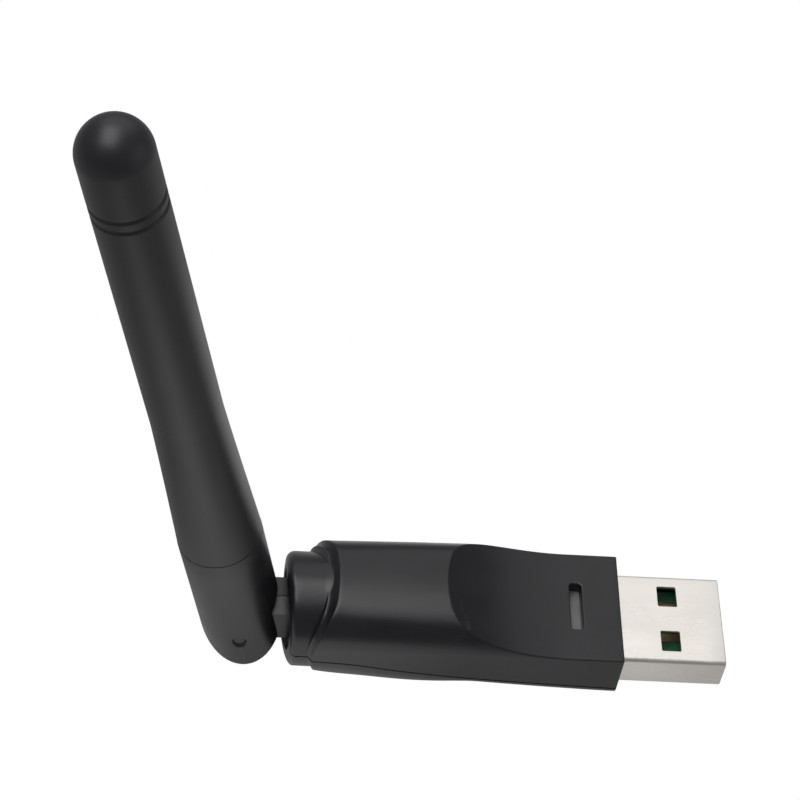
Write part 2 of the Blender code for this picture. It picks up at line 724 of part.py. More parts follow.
# The fork's end is round about the hinge.
shoulder_x = BASE_RADIUS + 1.0
heel_arc = arc((0.0, 0.0), BASE_RADIUS, -176, -4, 20)
heel_line = [(-shoulder_x, heel_arc[0][1]), *heel_arc, (shoulder_x, heel_arc[-1][1])]
heel_line += [(shoulder_x, SPIGOT_TOP + 1.0), (-shoulder_x, SPIGOT_TOP + 1.0)]
heel_form = prism("heel_form", heel_line, BASE_RADIUS + 1.0)
heel_form.parent = fold_axis
combine(base, heel_form, "INTERSECT")
reach = TAB_RADIUS + SLOT_CLEAR + 0.05
slot_half = TAB_HALF_WIDTH + SLOT_CLEAR
slot_top = reach + HINGE_DROP
fork_slot = box("fork_slot", (-reach, -slot_half, -9.0), (9.0, slot_half, slot_top), None, fold_axis)
combine(base, fork_slot, "DIFFERENCE")
base_bore = turned(
    "base_bore",
    [(0.0, 30.0), (BASE_BORE, 30.0), (BASE_BORE, 0.5), (0.0, 0.5)],
    "Z",
    20,
    None,
    fold_axis,
)
combine(base, base_bore, "DIFFERENCE")
for side, sign in (("left", -1), ("right", 1)):
    ends = sorted((sign * 1.0, sign * (BASE_RADIUS + 1.0)))
    socket = crosswise_rod(f"fork_socket_{side}", *ends, PIN_RADIUS + PRESS_GAP, 28, fold_axis)
    combine(base, socket, "DIFFERENCE")
    ends = sorted((sign * pin_inner, sign * pin_outer))
    pin = crosswise_rod(f"hinge_pin_{side}", ends[0], ends[1], PIN_RADIUS, 28, fold_axis, PIN_BLACK)
    round_edges(pin, 0.12, 2)

sleeve_foot = BASE_TOP + SLEEVE_GAP


def sleeve_radius(height):
    """The sleeve narrows from its foot to the waist and then barely to the tip."""
    if height < WAIST_Z:
        share = (WAIST_Z - height) / (WAIST_Z - sleeve_foot)
        return WAIST_RADIUS + (BASE_RADIUS - 0.02 - WAIST_RADIUS) * share**1.15
    return mix(WAIST_RADIUS, TIP_RADIUS, (height - WAIST_Z) / (TIP_Z - WAIST_Z))


outer = [(r, h) for r, h in arc((0, TIP_Z), TIP_RADIUS, 86, 0, 11)]
for height in sorted(GROOVE_HEIGHTS, reverse=True):
    outer.append((sleeve_radius(height), height + GROOVE_HALF))
    outer.append((sleeve_radius(height) - GROOVE_DEPTH, height + GROOVE_HALF * 0.4))
    outer.append((sleeve_radius(height) - GROOVE_DEPTH, height - GROOVE_HALF * 0.4))
    outer.append((sleeve_radius(height), height - GROOVE_HALF))
for height in (60.0, 48.0, 38.0, 34.0, 30.0, 26.0, 22.0, 18.0, sleeve_foot + RIM_ROUND):
    outer.append((sleeve_radius(height), height))
outer.append((sleeve_radius(sleeve_foot) - RIM_ROUND, sleeve_foot))
sleeve_turn = [
    (0.0, TIP_Z + TIP_RADIUS),
    *outer,
    (SLEEVE_BORE, sleeve_foot),
    (SLEEVE_BORE, SLEEVE_BORE_TOP),
    (0.0, SLEEVE_BORE_TOP),
]
turned("antenna_sleeve", sleeve_turn, "Z", 48, SLEEVE_BLACK, fold_axis)

wire("coax_antenna_lead", [(0, 0, 3.4), (0, 0, 46.0)], COAX_RADIUS, COAX_JACKET, fold_axis)
tube_turn = [
    (TUBE_RADIUS, 46.5),
    (TUBE_RADIUS, 24.0),
    (TUBE_RADIUS - TUBE_WALL, 24.0),
    (TUBE_RADIUS - TUBE_WALL, 46.5),
]
turned("radiator_tube", tube_turn, "Z", 24, COPPER, fold_axis, closed=True)
wire("radiator_whip", [(0, 0, 46.3), (0, 0, 68.5)], WHIP_RADIUS, COPPER, fold_axis)
spacer_turn = [
    (SLEEVE_BORE - 0.1, 60.0),
    (SLEEVE_BORE - 0.1, 57.0),
    (WHIP_RADIUS + 0.1, 57.0),
    (WHIP_RADIUS + 0.1, 60.0),
]
turned("whip_spacer", spacer_turn, "Z", 24, SPACER_WHITE, fold_axis, closed=True)
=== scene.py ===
"""Looks of a USB wireless adapter with a folding, swivelling stub antenna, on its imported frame.

Shapes are worked out in millimetres and stored in metres. +X runs out along the plug, +Z is
up out of the deck, and the origin is on the plug's centre line at the housing's front face.
"""

import json
import math

import bmesh
import bpy
import numpy as np
from mathutils import Matrix, Vector


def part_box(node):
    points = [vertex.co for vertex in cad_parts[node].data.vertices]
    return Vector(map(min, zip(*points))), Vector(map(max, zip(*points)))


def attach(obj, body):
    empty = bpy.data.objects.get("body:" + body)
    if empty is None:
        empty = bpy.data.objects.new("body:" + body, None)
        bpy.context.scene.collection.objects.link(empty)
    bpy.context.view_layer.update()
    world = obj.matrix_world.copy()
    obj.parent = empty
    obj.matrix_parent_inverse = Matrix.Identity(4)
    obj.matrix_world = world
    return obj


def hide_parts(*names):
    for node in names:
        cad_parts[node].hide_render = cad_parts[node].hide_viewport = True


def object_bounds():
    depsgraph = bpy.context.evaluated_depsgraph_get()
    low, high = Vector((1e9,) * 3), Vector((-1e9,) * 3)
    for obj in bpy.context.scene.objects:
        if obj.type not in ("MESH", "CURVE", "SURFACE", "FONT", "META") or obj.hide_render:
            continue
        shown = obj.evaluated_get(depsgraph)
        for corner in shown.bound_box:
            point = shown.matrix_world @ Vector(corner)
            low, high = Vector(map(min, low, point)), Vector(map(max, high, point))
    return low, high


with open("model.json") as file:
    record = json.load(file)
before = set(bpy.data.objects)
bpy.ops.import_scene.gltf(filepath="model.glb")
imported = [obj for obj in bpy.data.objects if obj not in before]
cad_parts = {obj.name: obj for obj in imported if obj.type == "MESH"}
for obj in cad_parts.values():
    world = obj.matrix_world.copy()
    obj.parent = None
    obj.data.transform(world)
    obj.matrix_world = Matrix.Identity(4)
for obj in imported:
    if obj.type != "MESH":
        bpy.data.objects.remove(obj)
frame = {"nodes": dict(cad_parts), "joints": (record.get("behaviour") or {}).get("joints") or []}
CAD_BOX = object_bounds()

MM = 0.001

# ---- Sizes read from the frame, in millimetres ----


def corners(node):
    low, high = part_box(node)
    return np.array(low) / MM, np.array(high) / MM


JOINTS = {joint["name"]: joint for joint in frame["joints"]}
PIVOT = np.array(JOINTS["swivel_turn"]["pos_m"]) / MM
HINGE = np.array(JOINTS["antenna_fold"]["pos_m"]) / MM
AXIS_Z = PIVOT[2]
LEAN = math.radians(JOINTS["antenna_fold"]["range_deg"][1])
TO_SWIVEL = Matrix.Translation(Vector(PIVOT * MM))
TO_HINGE = Matrix.Translation(Vector(HINGE * MM))
TO_ANTENNA = TO_HINGE @ Matrix.Rotation(-LEAN, 4, "Y")

PLUG_LOW, PLUG_HIGH = corners("usb_shell")
UPPER_HIGH = corners("upper_housing")[1]
PIPE_LOW, PIPE_HIGH = corners("window_light_pipe")

# ---- Housing ----
HALF_WIDTH = UPPER_HIGH[1]
TAIL_HALF_WIDTH = HALF_WIDTH - 0.14
ROOF_Z = UPPER_HIGH[2]
CROWN_RADIUS = 22.0
DECK_Z = 3.92
SCOOP_START_X = -6.0
SCOOP_RADIUS = 28.0
SHOULDER_FRONT = 3.8
SHOULDER_TAIL = 4.8
UNCUT_Z = ROOF_Z + 0.6  # the ramp's cut has left the roof here
NEARLY_UNCUT_Z = ROOF_Z + 0.5
CREST_BLEND = 0.05  # how softly the ramp meets the crowned roof
TAIL_X = -35.5
TAIL_ARC_RADIUS = 10.5
TAIL_TOP_Z = 8.3  # the tail's arc runs straight on above and below these
TAIL_FOOT_Z = -6.5
TAIL_BULGE = 0.6
TAIL_START_X = -28.0  # rings lean over from here to the tail
TAIL_SECTION_X = TAIL_X + 1.5
WALL = 1.1
DECK_WALL = 1.5
SEAM_GAP = 0.18
SEAM_CUT_END_X = -60.0
SEAM_CUT_FRONT_X = 4.0
BOTTOM_Z = -3.15
SKIRT = 9.0  # each shell's section runs on past the parting line by this
EDGE = 0.17
QUARTERS = ((1, 1, 0), (-1, 1, 90), (-1, -1, 180), (1, -1, 270))  # signs, start in degrees
MIDDLE_GAP = 0.004  # the two halves of a section stop this far from the middle
# The parting line, as (x, z).
SEAM_LINE = [
    (SEAM_CUT_FRONT_X, -1.9),
    (0.6, -1.78),
    (-4.0, -1.62),
    (-11.0, -1.3),
    (-18.0, -0.88),
    (-25.3, -0.12),
    (-32.0, 0.78),
    (-36.4, 0.9),
    (SEAM_CUT_END_X, 0.9),
]
# The underside, as (x, how far its rounding reaches in from the side, z).
HULL = [
    (4.0, 1.0, BOTTOM_Z),
    (0.0, 1.0, BOTTOM_Z),
    (-8.0, 1.5, BOTTOM_Z),
    (-14.5, 2.5, BOTTOM_Z),
    (-16.6, 3.0, BOTTOM_Z - 0.05),
    (-18.4, 3.2, BOTTOM_Z - 0.45),
    (-20.6, 3.6, BOTTOM_Z - 1.15),
    (-23.0, 4.2, BOTTOM_Z - 1.75),
    (-26.0, 5.0, BOTTOM_Z - 2.2),
    (-29.5, 6.0, BOTTOM_Z - 2.55),
    (-31.6, 6.55, BOTTOM_Z - 2.7),
    (-32.8, 6.85, BOTTOM_Z - 2.65),
    (-34.0, 7.0, BOTTOM_Z - 2.3),
    (-35.0, 7.05, BOTTOM_Z - 1.95),
    (-36.2, 7.1, BOTTOM_Z - 1.8),
]
SLOT_X = -5.15
SLOT_WIDTH = 1.4
SLOT_LENGTH = 6.25
SLOT_CORNER = 0.4

# ---- Swivel collar and neck ----
COLLAR_RADIUS = 6.56
COLLAR_END_X = -38.65
COLLAR_ROUND = 1.0
COLLAR_ROOT_X = -33.0
COLLAR_SLANT = 0.13
COLLAR_SLANT_X = -36.9  # the slant grows from here over the next length
COLLAR_SLANT_LENGTH = 1.75
BORE_RADIUS = 4.8
GROOVE_RADIUS = 5.75
GROOVE_TAIL_X = -36.85
GROOVE_FRONT_X = -35.2
DISC_FACE_X = -37.75
DISC_RADIUS = 4.74
DISC_EDGE = 0.12
FLANGE_RADIUS = 5.69
FLANGE_THICK = 0.9
WASHER_THICK = 0.3
AXIAL_PLAY = 0.12
LEAD_BORE = 1.0
TAB_HALF_WIDTH = 2.45
TAB_RADIUS = 2.55
TAB_EDGE = 0.12
TAB_SLOPE = 0.42  # the near top facet falls by this

# ---- Antenna ----
BASE_RADIUS = 4.78
BASE_TOP = 14.95
BASE_RIM = 0.06
HEEL_ROUND = 0.4
FORK_GAP = 0.2
FORK_SIDE_GAP = 0.15
SPIGOT_RADIUS = 2.75
SPIGOT_TOP = 22.0
SLEEVE_FOOT = 15.0
SLEEVE_RIM = 0.05
FOOT_RADIUS = BASE_RADIUS - 0.02
FLARE_POWER = 1.15
WAIST_RADIUS = 3.92
WAIST_Z = 36.4
TIP_RADIUS = 3.85
TIP_Z = 74.75
SLEEVE_BORE = 2.85
SLEEVE_BORE_TOP = 71.0
GROOVE_HEIGHTS = (68.05, 69.4)
GROOVE_HALF = 0.26 * 1.35
GROOVE_DEPTH = 0.15
SIDES = (("left", -1), ("right", 1))  # the near and the far pin
PIN_RADIUS = 0.7
PIN_RECESS = 0.26
PIN_EDGE = 0.14
SOCKET_FLARE = 0.26
SOCKET_FLARE_DEPTH = 0.28
PIN_SEAT = 0.03  # clearance round a pin in the base, and twice this in the neck


# ---- Mesh helpers ----
LEVEL = 0.04  # points this close in height to a ring's middle count as level with it
ON_AXIS = 1e-6


def link(name, mesh):
    obj = bpy.data.objects.new(name, mesh)
    bpy.context.scene.collection.objects.link(obj)
    return obj


def from_shape(name, shape):
    bmesh.ops.recalc_face_normals(shape, faces=shape.faces)
    mesh = bpy.data.meshes.new(name)
    shape.to_mesh(mesh)
    shape.free()
    return link(name, mesh)


def ring_grid(shape, rows):
    """Vertices for rings of points in millimetres."""
    return [[shape.verts.new([float(v) * MM for v in point]) for point in row] for row in rows]


def join_rings(shape, near, far):
    for i in range(len(near)):
        j = (i + 1) % len(near)
        shape.faces.new((near[i], near[j], far[j], far[i]))


def tube_of(name, rows, ruled_ends=False):
    """A closed body through rings. A ruled end joins mirrored points up to the level middle."""
    shape = bmesh.new()
    grid = ring_grid(shape, rows)
    count = len(grid[0])
    for near, far in zip(grid, grid[1:]):
        join_rings(shape, near, far)
    for row in (grid[0], grid[-1]):
        if ruled_ends:
            middle = row[count // 2 - 1].co.z
            off_level = [i for i in range(count // 2) if abs(row[i].co.z - middle) > LEVEL * MM]
            level = max(off_level)
            for i in range(level):
                shape.faces.new((row[i], row[i + 1], row[count - 2 - i], row[count - 1 - i]))
            shape.faces.new(row[level : count - level])
        else:
            shape.faces.new(row)
    return from_shape(name, shape)


def torus_of(name, rows):
    """A closed body whose last ring joins its first."""
    shape = bmesh.new()
    grid = ring_grid(shape, rows)
    for near, far in zip(grid, grid[1:] + grid[:1]):
        join_rings(shape, near, far)
    return from_shape(name, shape)


def turned(name, profile, axis, steps, matrix=None):
    """A profile of (radius, height) turned about Z or X. Points on the axis become poles."""
    shape = bmesh.new()
    rings = []
    for radius, height in profile:
        ring = []
        for i in range(steps if radius > ON_AXIS else 1):
            angle = 2 * math.pi * i / steps
            across = (radius * math.cos(angle), radius * math.sin(angle))
            point = (*across, height) if axis == "Z" else (height, *across)
            ring.append(shape.verts.new([value * MM for value in point]))
        rings.append(ring)
    for near, far in zip(rings, rings[1:]):
        for i in range(steps):
            j = (i + 1) % steps
            pairs = ((near, i), (near, j), (far, j), (far, i))
            around = [ring[place % len(ring)] for ring, place in pairs]
            unique = list(dict.fromkeys(around))
            if len(unique) > 2:
                shape.faces.new(unique)
    obj = from_shape(name, shape)
    if matrix is not None:
        obj.data.transform(matrix)
    return obj


def rod_across(name, ends, radius, steps, matrix, edge=0.0):
    """A rod along Y between two places, with its rims rounded by edge."""
    low_y, high_y = sorted(ends)
    low_rim = [(radius, low_y)]
    high_rim = [(radius, high_y)]
    if edge:
        inner, low, high = radius - edge, low_y + edge, high_y - edge
        rim = turns(0, 90, 6)
        low_rim = [(inner + edge * math.sin(a), low - edge * math.cos(a)) for a in rim]
        high_rim = [(inner + edge * math.cos(a), high + edge * math.sin(a)) for a in rim]
    profile = [(0.0, low_y), *low_rim, *high_rim, (0.0, high_y)]
    obj = turned(name, profile, "Z", steps)
    obj.data.transform(matrix @ Matrix.Rotation(-math.pi / 2, 4, "X"))
    return obj


def turns(start, end, steps):
    """Angles in radians between two in degrees, both ends included."""
    return [math.radians(start + (end - start) * i / steps) for i in range(steps + 1)]


def arc(centre, radius, start, end, steps):
    """Points round part of a circle, as pairs."""
    x, y = centre
    return [
        (x + radius * math.cos(a), y + radius * math.sin(a)) for a in turns(start, end, steps)
    ]


def box(name, low, high, matrix=None, edge=0.0):
    shape = bmesh.new()
    bmesh.ops.create_cube(shape, size=1.0)
    for vert in shape.verts:
        for axis in range(3):
            vert.co[axis] = MM * (low[axis] if vert.co[axis] < 0 else high[axis])
    if edge:
        rims = shape.edges[:]
        bmesh.ops.bevel(
            shape, geom=rims, offset=edge * MM, segments=3, profile=0.5, affect="EDGES"
        )
    obj = from_shape(name, shape)
    if matrix is not None:
        obj.data.transform(matrix)
    return obj


def prism(name, outline, half):
    """A flat outline in X and Z, thick along Y."""
    shape = bmesh.new()
    face = shape.faces.new([shape.verts.new((MM * x, -MM * half, MM * z)) for x, z in outline])
    grown = bmesh.ops.extrude_face_region(shape, geom=[face])
    moved = [item for item in grown["geom"] if isinstance(item, bmesh.types.BMVert)]
    bmesh.ops.translate(shape, verts=moved, vec=(0, 2 * MM * half, 0))
    return from_shape(name, shape)


def settle(obj, changes, sharp_degrees=32.0):
    """Applies Booleans in order, drops the cutters, and shades smooth between sharp edges."""
    for other, operation in changes:
        change = obj.modifiers.new(other.name, "BOOLEAN")
        change.operation = operation
        change.solver = "EXACT"
        change.object = other
    bpy.context.view_layer.update()
    graph = bpy.context.evaluated_depsgraph_get()
    final = bpy.data.meshes.new_from_object(obj.evaluated_get(graph))
    obj.modifiers.clear()
    old = obj.data
    obj.data = final
    bpy.data.meshes.remove(old)
    final.name = obj.name
    for other, _operation in changes:
        bpy.data.objects.remove(other, do_unlink=True)
    final.shade_smooth()
    final.set_sharp_from_angle(angle=math.radians(sharp_degrees))
    return obj


def smooth_line(points):
    """A monotone cubic through points of falling x, as a function of x."""
    xs = np.array([-p[0] for p in points])
    ys = np.array([p[1:] for p in points], float)
    step = np.diff(xs)[:, None]
    slope = np.diff(ys, axis=0) / step
    tangent = np.zeros_like(ys)
    tangent[0], tangent[-1] = slope[0], slope[-1]
    for i in range(1, len(xs) - 1):
        for k in range(ys.shape[1]):
            a, b = slope[i - 1, k], slope[i, k]
            tangent[i, k] = 0.0 if a * b <= 0 else 2 * a * b / (a + b)

    def at(x):
        s = min(max(-x, xs[0]), xs[-1])
        i = min(max(int(np.searchsorted(xs, s, side="right")) - 1, 0), len(xs) - 2)
        width = xs[i + 1] - xs[i]
        t = (s - xs[i]) / width
        return (
            (2 * t**3 - 3 * t**2 + 1) * ys[i]
            + (t**3 - 2 * t**2 + t) * width * tangent[i]
            + (3 * t**2 - 2 * t**3) * ys[i + 1]
            + (t**3 - t**2) * width * tangent[i + 1]
        )

    return at


# ---- Housing sections ----
LEAST_REACH = 0.05  # how far in a corner's rounding reaches at least
SHARPEST = 1.5  # the sharpest turn, in radians, that a corner's rounding is fitted to
SIDE_STEPS = 30
CORNER_STEPS = 8
ROOF_STEPS = 12
seam_at = smooth_line(SEAM_LINE)
hull_at = smooth_line(HULL)


def blend(low, high, share):
    return low + (high - low) * min(1.0, max(0.0, share))


def half_width(x):
    return blend(HALF_WIDTH, TAIL_HALF_WIDTH, (-24.0 - x) / 12.0)


def shoulder(x):
    return blend(SHOULDER_FRONT, SHOULDER_TAIL, (-18.0 - x) / 15.0)


def tail_x(z):
    """The arc of the tail, seen from the side."""
    rise = max(min(z, TAIL_TOP_Z), TAIL_FOOT_Z) - AXIS_Z
    return TAIL_X + TAIL_ARC_RADIUS - math.sqrt(TAIL_ARC_RADIUS**2 - rise**2)


RAMP_TOP_X = SCOOP_START_X - math.sqrt(
    SCOOP_RADIUS**2 - (SCOOP_RADIUS - (UNCUT_Z - DECK_Z)) ** 2
)


def ceiling(x):
    """The height of the deck and of the ramp behind it."""
    if x >= SCOOP_START_X:
        return DECK_Z
    if x <= RAMP_TOP_X:
        return UNCUT_Z
    return DECK_Z + SCOOP_RADIUS - math.sqrt(SCOOP_RADIUS**2 - (x - SCOOP_START_X) ** 2)


def soft_min(a, b, width):
    """The smaller of two, with the change from one to the other smoothed over a width."""
    share = min(1.0, max(0.0, 0.5 + 0.5 * (b - a) / width))
    return b + (a - b) * share - width * share * (1.0 - share)


def upper_section(x):
    """The right half of the section from the skirt up to the middle, as (y, z).

    The side turns over into the crowned roof, and the deck or the ramp cuts that off. Where
    it does, the corner it leaves is rounded. Every section has the same number of points.
    """
    side = half_width(x)
    turn = shoulder(x)
    crown_z = ROOF_Z - CROWN_RADIUS
    lean = math.asin((side - turn) / (CROWN_RADIUS - turn))
    turn_z = crown_z + (CROWN_RADIUS - turn) * math.cos(lean)
    tangent_z = turn_z + turn * math.sin(math.pi / 2 - lean)
    cut = ceiling(x)
    corner_angle = math.asin(min(1.0, (min(cut, tangent_z) - turn_z) / turn))
    sharp = math.pi / 2 - corner_angle if cut < tangent_z else 0.0
    reach = max(LEAST_REACH, EDGE * math.tan(min(sharp, SHARPEST) / 2))
    start_angle = max(0.0, corner_angle - reach / turn)
    foot_z = turn_z - 1.0

    def on_turn(angle):
        return (side - turn + turn * math.cos(angle), turn_z + turn * math.sin(angle))

    def crown(y):
        return crown_z + math.sqrt(CROWN_RADIUS**2 - y**2)

    points = [(side, -SKIRT), (side, -5.0), (side, 0.0), (side, foot_z)]
    steps = SIDE_STEPS
    if start_angle <= 0.0:
        drop = turn_z - (reach - corner_angle * turn)
        points += [(side, foot_z + (drop - foot_z) * (i + 1) / steps) for i in range(steps)]
    else:
        points.append((side, turn_z))
        points += [on_turn(start_angle * (i + 1) / (steps - 1)) for i in range(steps - 1)]
    near = points[-1]
    corner = on_turn(corner_angle)
    flat_from = corner[0] - reach
    far = (flat_from, corner[1] if sharp else crown(flat_from))
    for i in range(1, CORNER_STEPS):
        t = i / CORNER_STEPS
        near_share, corner_share, far_share = (1 - t) ** 2, 2 * t * (1 - t), t**2
        y, z = (
            near_share * near[k] + corner_share * corner[k] + far_share * far[k] for k in (0, 1)
        )
        points.append((y, z))
    for i in range(ROOF_STEPS + 1):
        y = flat_from * (1 - i / ROOF_STEPS)
        arch = crown(y) if y < side - turn or cut > tangent_z else ROOF_Z
        z = soft_min(arch, cut, CREST_BLEND) if cut < NEARLY_UNCUT_Z else crown(y)
        points.append((y, z))
    return points


def lower_section(x):
    """The right half of the section from the skirt down to the middle of the underside."""
    side = half_width(x)
    reach, bottom = hull_at(x)
    level = seam_at(x)[0]
    points = [(side, SKIRT), (side, level + 3.0), (side, level + 1.0)]
    inner = side - reach
    for a in turns(0, 90, 28):
        points.append((inner + reach * math.cos(a), level - (level - bottom) * math.sin(a)))
    return points + [(inner * (1 - (i + 1) / 8), bottom) for i in range(8)]


def mirrored(half):
    """A whole ring from a half that ends in the middle."""
    right = half[:-1] + [(MIDDLE_GAP, half[-1][1])]
    return right + [(-y, z) for y, z in reversed(right)]


def inset_ring(ring, depth):
    """The ring moved in along its own normals."""
    points = np.array(ring)
    ahead = np.roll(points, -1, 0) - points
    behind = points - np.roll(points, 1, 0)
    ahead /= np.linalg.norm(ahead, axis=1)[:, None]
    behind /= np.linalg.norm(behind, axis=1)[:, None]
    along = ahead + behind
    along /= np.linalg.norm(along, axis=1)[:, None]
    normal = np.stack([along[:, 1], -along[:, 0]], 1)
    following = np.roll(points, -1, 0)
    area = np.sum(points[:, 0] * following[:, 1] - following[:, 0] * points[:, 1])
    return points - normal * depth * (1 if area > 0 else -1)


def shell_rows(section, stations):
    """Rings along the housing, with a rounded front rim and a leaning, domed tail."""
    rows = []
    front_ring = mirrored(section(-EDGE * 0.5))
    for a in turns(90, 0, 6):
        ring = inset_ring(front_ring, EDGE * (1 - math.cos(a)))
        rows.append([(-EDGE + EDGE * math.sin(a), y, z) for y, z in ring])
    for x in stations:
        rows.append([(x, y, z) for y, z in mirrored(section(x))])
    tail_ring = mirrored(section(TAIL_SECTION_X))
    for share in np.linspace(0, 1, 14)[1:]:
        ring = mirrored(section(TAIL_START_X + (TAIL_SECTION_X - TAIL_START_X) * share))
        run = [(tail_x(z) + EDGE - TAIL_START_X) * share for _y, z in ring]
        rows.append([(TAIL_START_X + ahead, y, z) for ahead, (y, z) in zip(run, ring)])
    for a in turns(15, 55, 4):
        ring = inset_ring(tail_ring, EDGE * (1 - math.cos(a)))
        rows.append([(tail_x(z) + EDGE * (1 - math.sin(a)), y, z) for y, z in ring])
    for a in turns(0, 90, 7)[1:]:
        ring = inset_ring(tail_ring, EDGE * 0.43 + TAIL_BULGE * math.sin(a))
        rise = TAIL_BULGE * (0.35 * math.sin(a) + 0.65 * (1 - math.cos(a)))
        rows.append([(tail_x(z) + EDGE * 0.18 - rise, y, z) for y, z in ring])
    return rows


def seam_outline(offset, far):
    """All that lies on one side of the parting line, which is moved by offset, in X and Z."""
    xs = [SEAM_CUT_FRONT_X, 1.0] + [0.5 - 0.75 * i for i in range(50)] + [-38.0, SEAM_CUT_END_X]
    line = [(x, float(seam_at(x)[0]) + offset) for x in xs]
    return line + [(SEAM_CUT_END_X, far), (SEAM_CUT_FRONT_X, far)]


# Rings stand close together along the ramp, and closest where it runs out over the roof.
ramp_xs = [
    *np.arange(-0.6, -5.8, -0.6),
    *np.arange(-5.9, -18.6, -0.16),
    *np.arange(-18.65, -20.8, -0.06),
    *np.arange(-20.9, TAIL_START_X, -0.5),
    TAIL_START_X,
]
hull_xs = [*np.arange(-0.5, TAIL_START_X, -0.35), TAIL_START_X]
upper = tube_of("housing_upper", shell_rows(upper_section, ramp_xs), ruled_ends=True)
lower = tube_of("housing_lower", shell_rows(lower_section, hull_xs), ruled_ends=True)

collar_turn = [(0.0, COLLAR_ROOT_X), (COLLAR_RADIUS, COLLAR_ROOT_X)]
collar_turn += [(COLLAR_RADIUS, -34.5), (COLLAR_RADIUS, COLLAR_SLANT_X)]
for a in turns(0, 90, 14):
    radius = COLLAR_RADIUS - COLLAR_ROUND + COLLAR_ROUND * math.cos(a)
    collar_turn.append((radius, COLLAR_END_X + COLLAR_ROUND - COLLAR_ROUND * math.sin(a)))
collar_turn += [(5.2, COLLAR_END_X), (4.6, COLLAR_END_X), (0.0, COLLAR_END_X)]
TO_AXIS = Matrix.Translation((0, 0, AXIS_Z * MM))
bore_turn = [
    (0.0, -32.6),
    (BORE_RADIUS, -32.6),
    (BORE_RADIUS, GROOVE_FRONT_X),
    (GROOVE_RADIUS, GROOVE_FRONT_X),
    (GROOVE_RADIUS, GROOVE_TAIL_X),
    (BORE_RADIUS, GROOVE_TAIL_X),
    (BORE_RADIUS, COLLAR_END_X + 0.3),
    (BORE_RADIUS + 0.06, COLLAR_END_X + 0.16),
    (BORE_RADIUS + 0.2, COLLAR_END_X + 0.04),
    (BORE_RADIUS + 0.45, COLLAR_END_X - 0.03),
    (BORE_RADIUS + 0.5, COLLAR_END_X - 0.2),
    (0.0, COLLAR_END_X - 0.2),
]
MOUTH_GAP = 0.12
mouth_half = PLUG_HIGH[1] + MOUTH_GAP
mouth_high = PLUG_HIGH[2] + MOUTH_GAP
mouth_back = PLUG_LOW[0] - 0.3


def collar_of(name):
    """The drum round the swivel. Its end is cut back a little on the near side."""
    drum = turned(name, collar_turn, "X", 160, TO_AXIS)
    for vert in drum.data.vertices:
        share = blend(0.0, 1.0, (COLLAR_SLANT_X - vert.co.x / MM) / COLLAR_SLANT_LENGTH)
        vert.co.x += share * COLLAR_SLANT * max(0.0, -vert.co.y)
    return drum


def bore_of(name):
    return turned(name, bore_turn, "X", 160, TO_AXIS)


def mouth_of(name):
    low = (mouth_back, -mouth_half, -mouth_high)
    return box(name, low, (1.0, mouth_half, mouth_high), edge=0.3)


def coarse_upper(x):
    """The section inside the upper shell: under the deck it is as low as the ramp lets it be."""
    side = half_width(x)
    top = min(ROOF_Z - WALL, ceiling(x) - DECK_WALL)
    turn = min(shoulder(x), 2.0)
    inner = side - WALL - turn
    half = [(side - WALL, -SKIRT), (side - WALL, top - turn)]
    for a in turns(10, 90, 8):
        half.append((inner + turn * math.cos(a), top - turn + turn * math.sin(a)))
    return half + [(0.0, top)]


def coarse_lower(x):
    """The section inside the lower shell."""
    side = half_width(x) - WALL
    reach, bottom = hull_at(x)
    reach = max(min(reach - WALL, side - 0.05), 0.4)
    level = seam_at(x)[0]
    depth = level - bottom - WALL * 0.85
    half = [(side, SKIRT)]
    for a in turns(0, 90, 10):
        half.append((side - reach + reach * math.cos(a), level - depth * math.sin(a)))
    return half + [(0.0, level - depth)]


def hollow_of(name, section):
    xs = [-1.25, -4.0, -6.0, -8.0, -10.0, -12.0, -14.0, -16.0, -18.0, -20.0]
    xs += [-22.0, -25.0, -28.0, -33.2]
    return tube_of(name, [[(x, y, z) for y, z in mirrored(section(x))] for x in xs], True)


def rounded_rectangle(centre_x, half_x, half_y, corner, grow):
    """A flat ring with round corners, made wider all round by grow."""
    ring = []
    for sx, sy, start in QUARTERS:
        cx, cy = centre_x + sx * (half_x - corner), sy * (half_y - corner)
        ring += arc((cx, cy), corner + grow, start, start + 90, 8)
    return ring


# The slot for the window, as (height over the deck, how much wider it is there).
SLOT_STEPS = [
    (-DECK_WALL - 1.0, 0.0),
    (-0.1, 0.0),
    (-0.05, 0.015),
    (-0.015, 0.05),
    (0.01, 0.1),
    (0.8, 0.11),
]
slot_rows = []
for lift, grow in SLOT_STEPS:
    ring = rounded_rectangle(SLOT_X, SLOT_WIDTH / 2, SLOT_LENGTH / 2, SLOT_CORNER, grow)
    slot_rows.append([(x, y, DECK_Z + lift) for x, y in ring])
slot = tube_of("window_slot", slot_rows)

below_seam = prism("below_seam", seam_outline(SEAM_GAP / 2, -20.0), 12)
above_seam = prism("above_seam", seam_outline(-SEAM_GAP / 2, 20.0), 12)
collars = [collar_of("collar_upper"), collar_of("collar_lower")]
settle(
    upper,
    [
        (collars[0], "UNION"),
        (below_seam, "DIFFERENCE"),
        (hollow_of("upper_hollow", coarse_upper), "DIFFERENCE"),
        (bore_of("bore_upper"), "DIFFERENCE"),
        (mouth_of("mouth_upper"), "DIFFERENCE"),
        (slot, "DIFFERENCE"),
    ],
)
settle(
    lower,
    [
        (collars[1], "UNION"),
        (above_seam, "DIFFERENCE"),
        (hollow_of("lower_hollow", coarse_lower), "DIFFERENCE"),
        (bore_of("bore_lower"), "DIFFERENCE"),
        (mouth_of("mouth_lower"), "DIFFERENCE"),
    ],
)

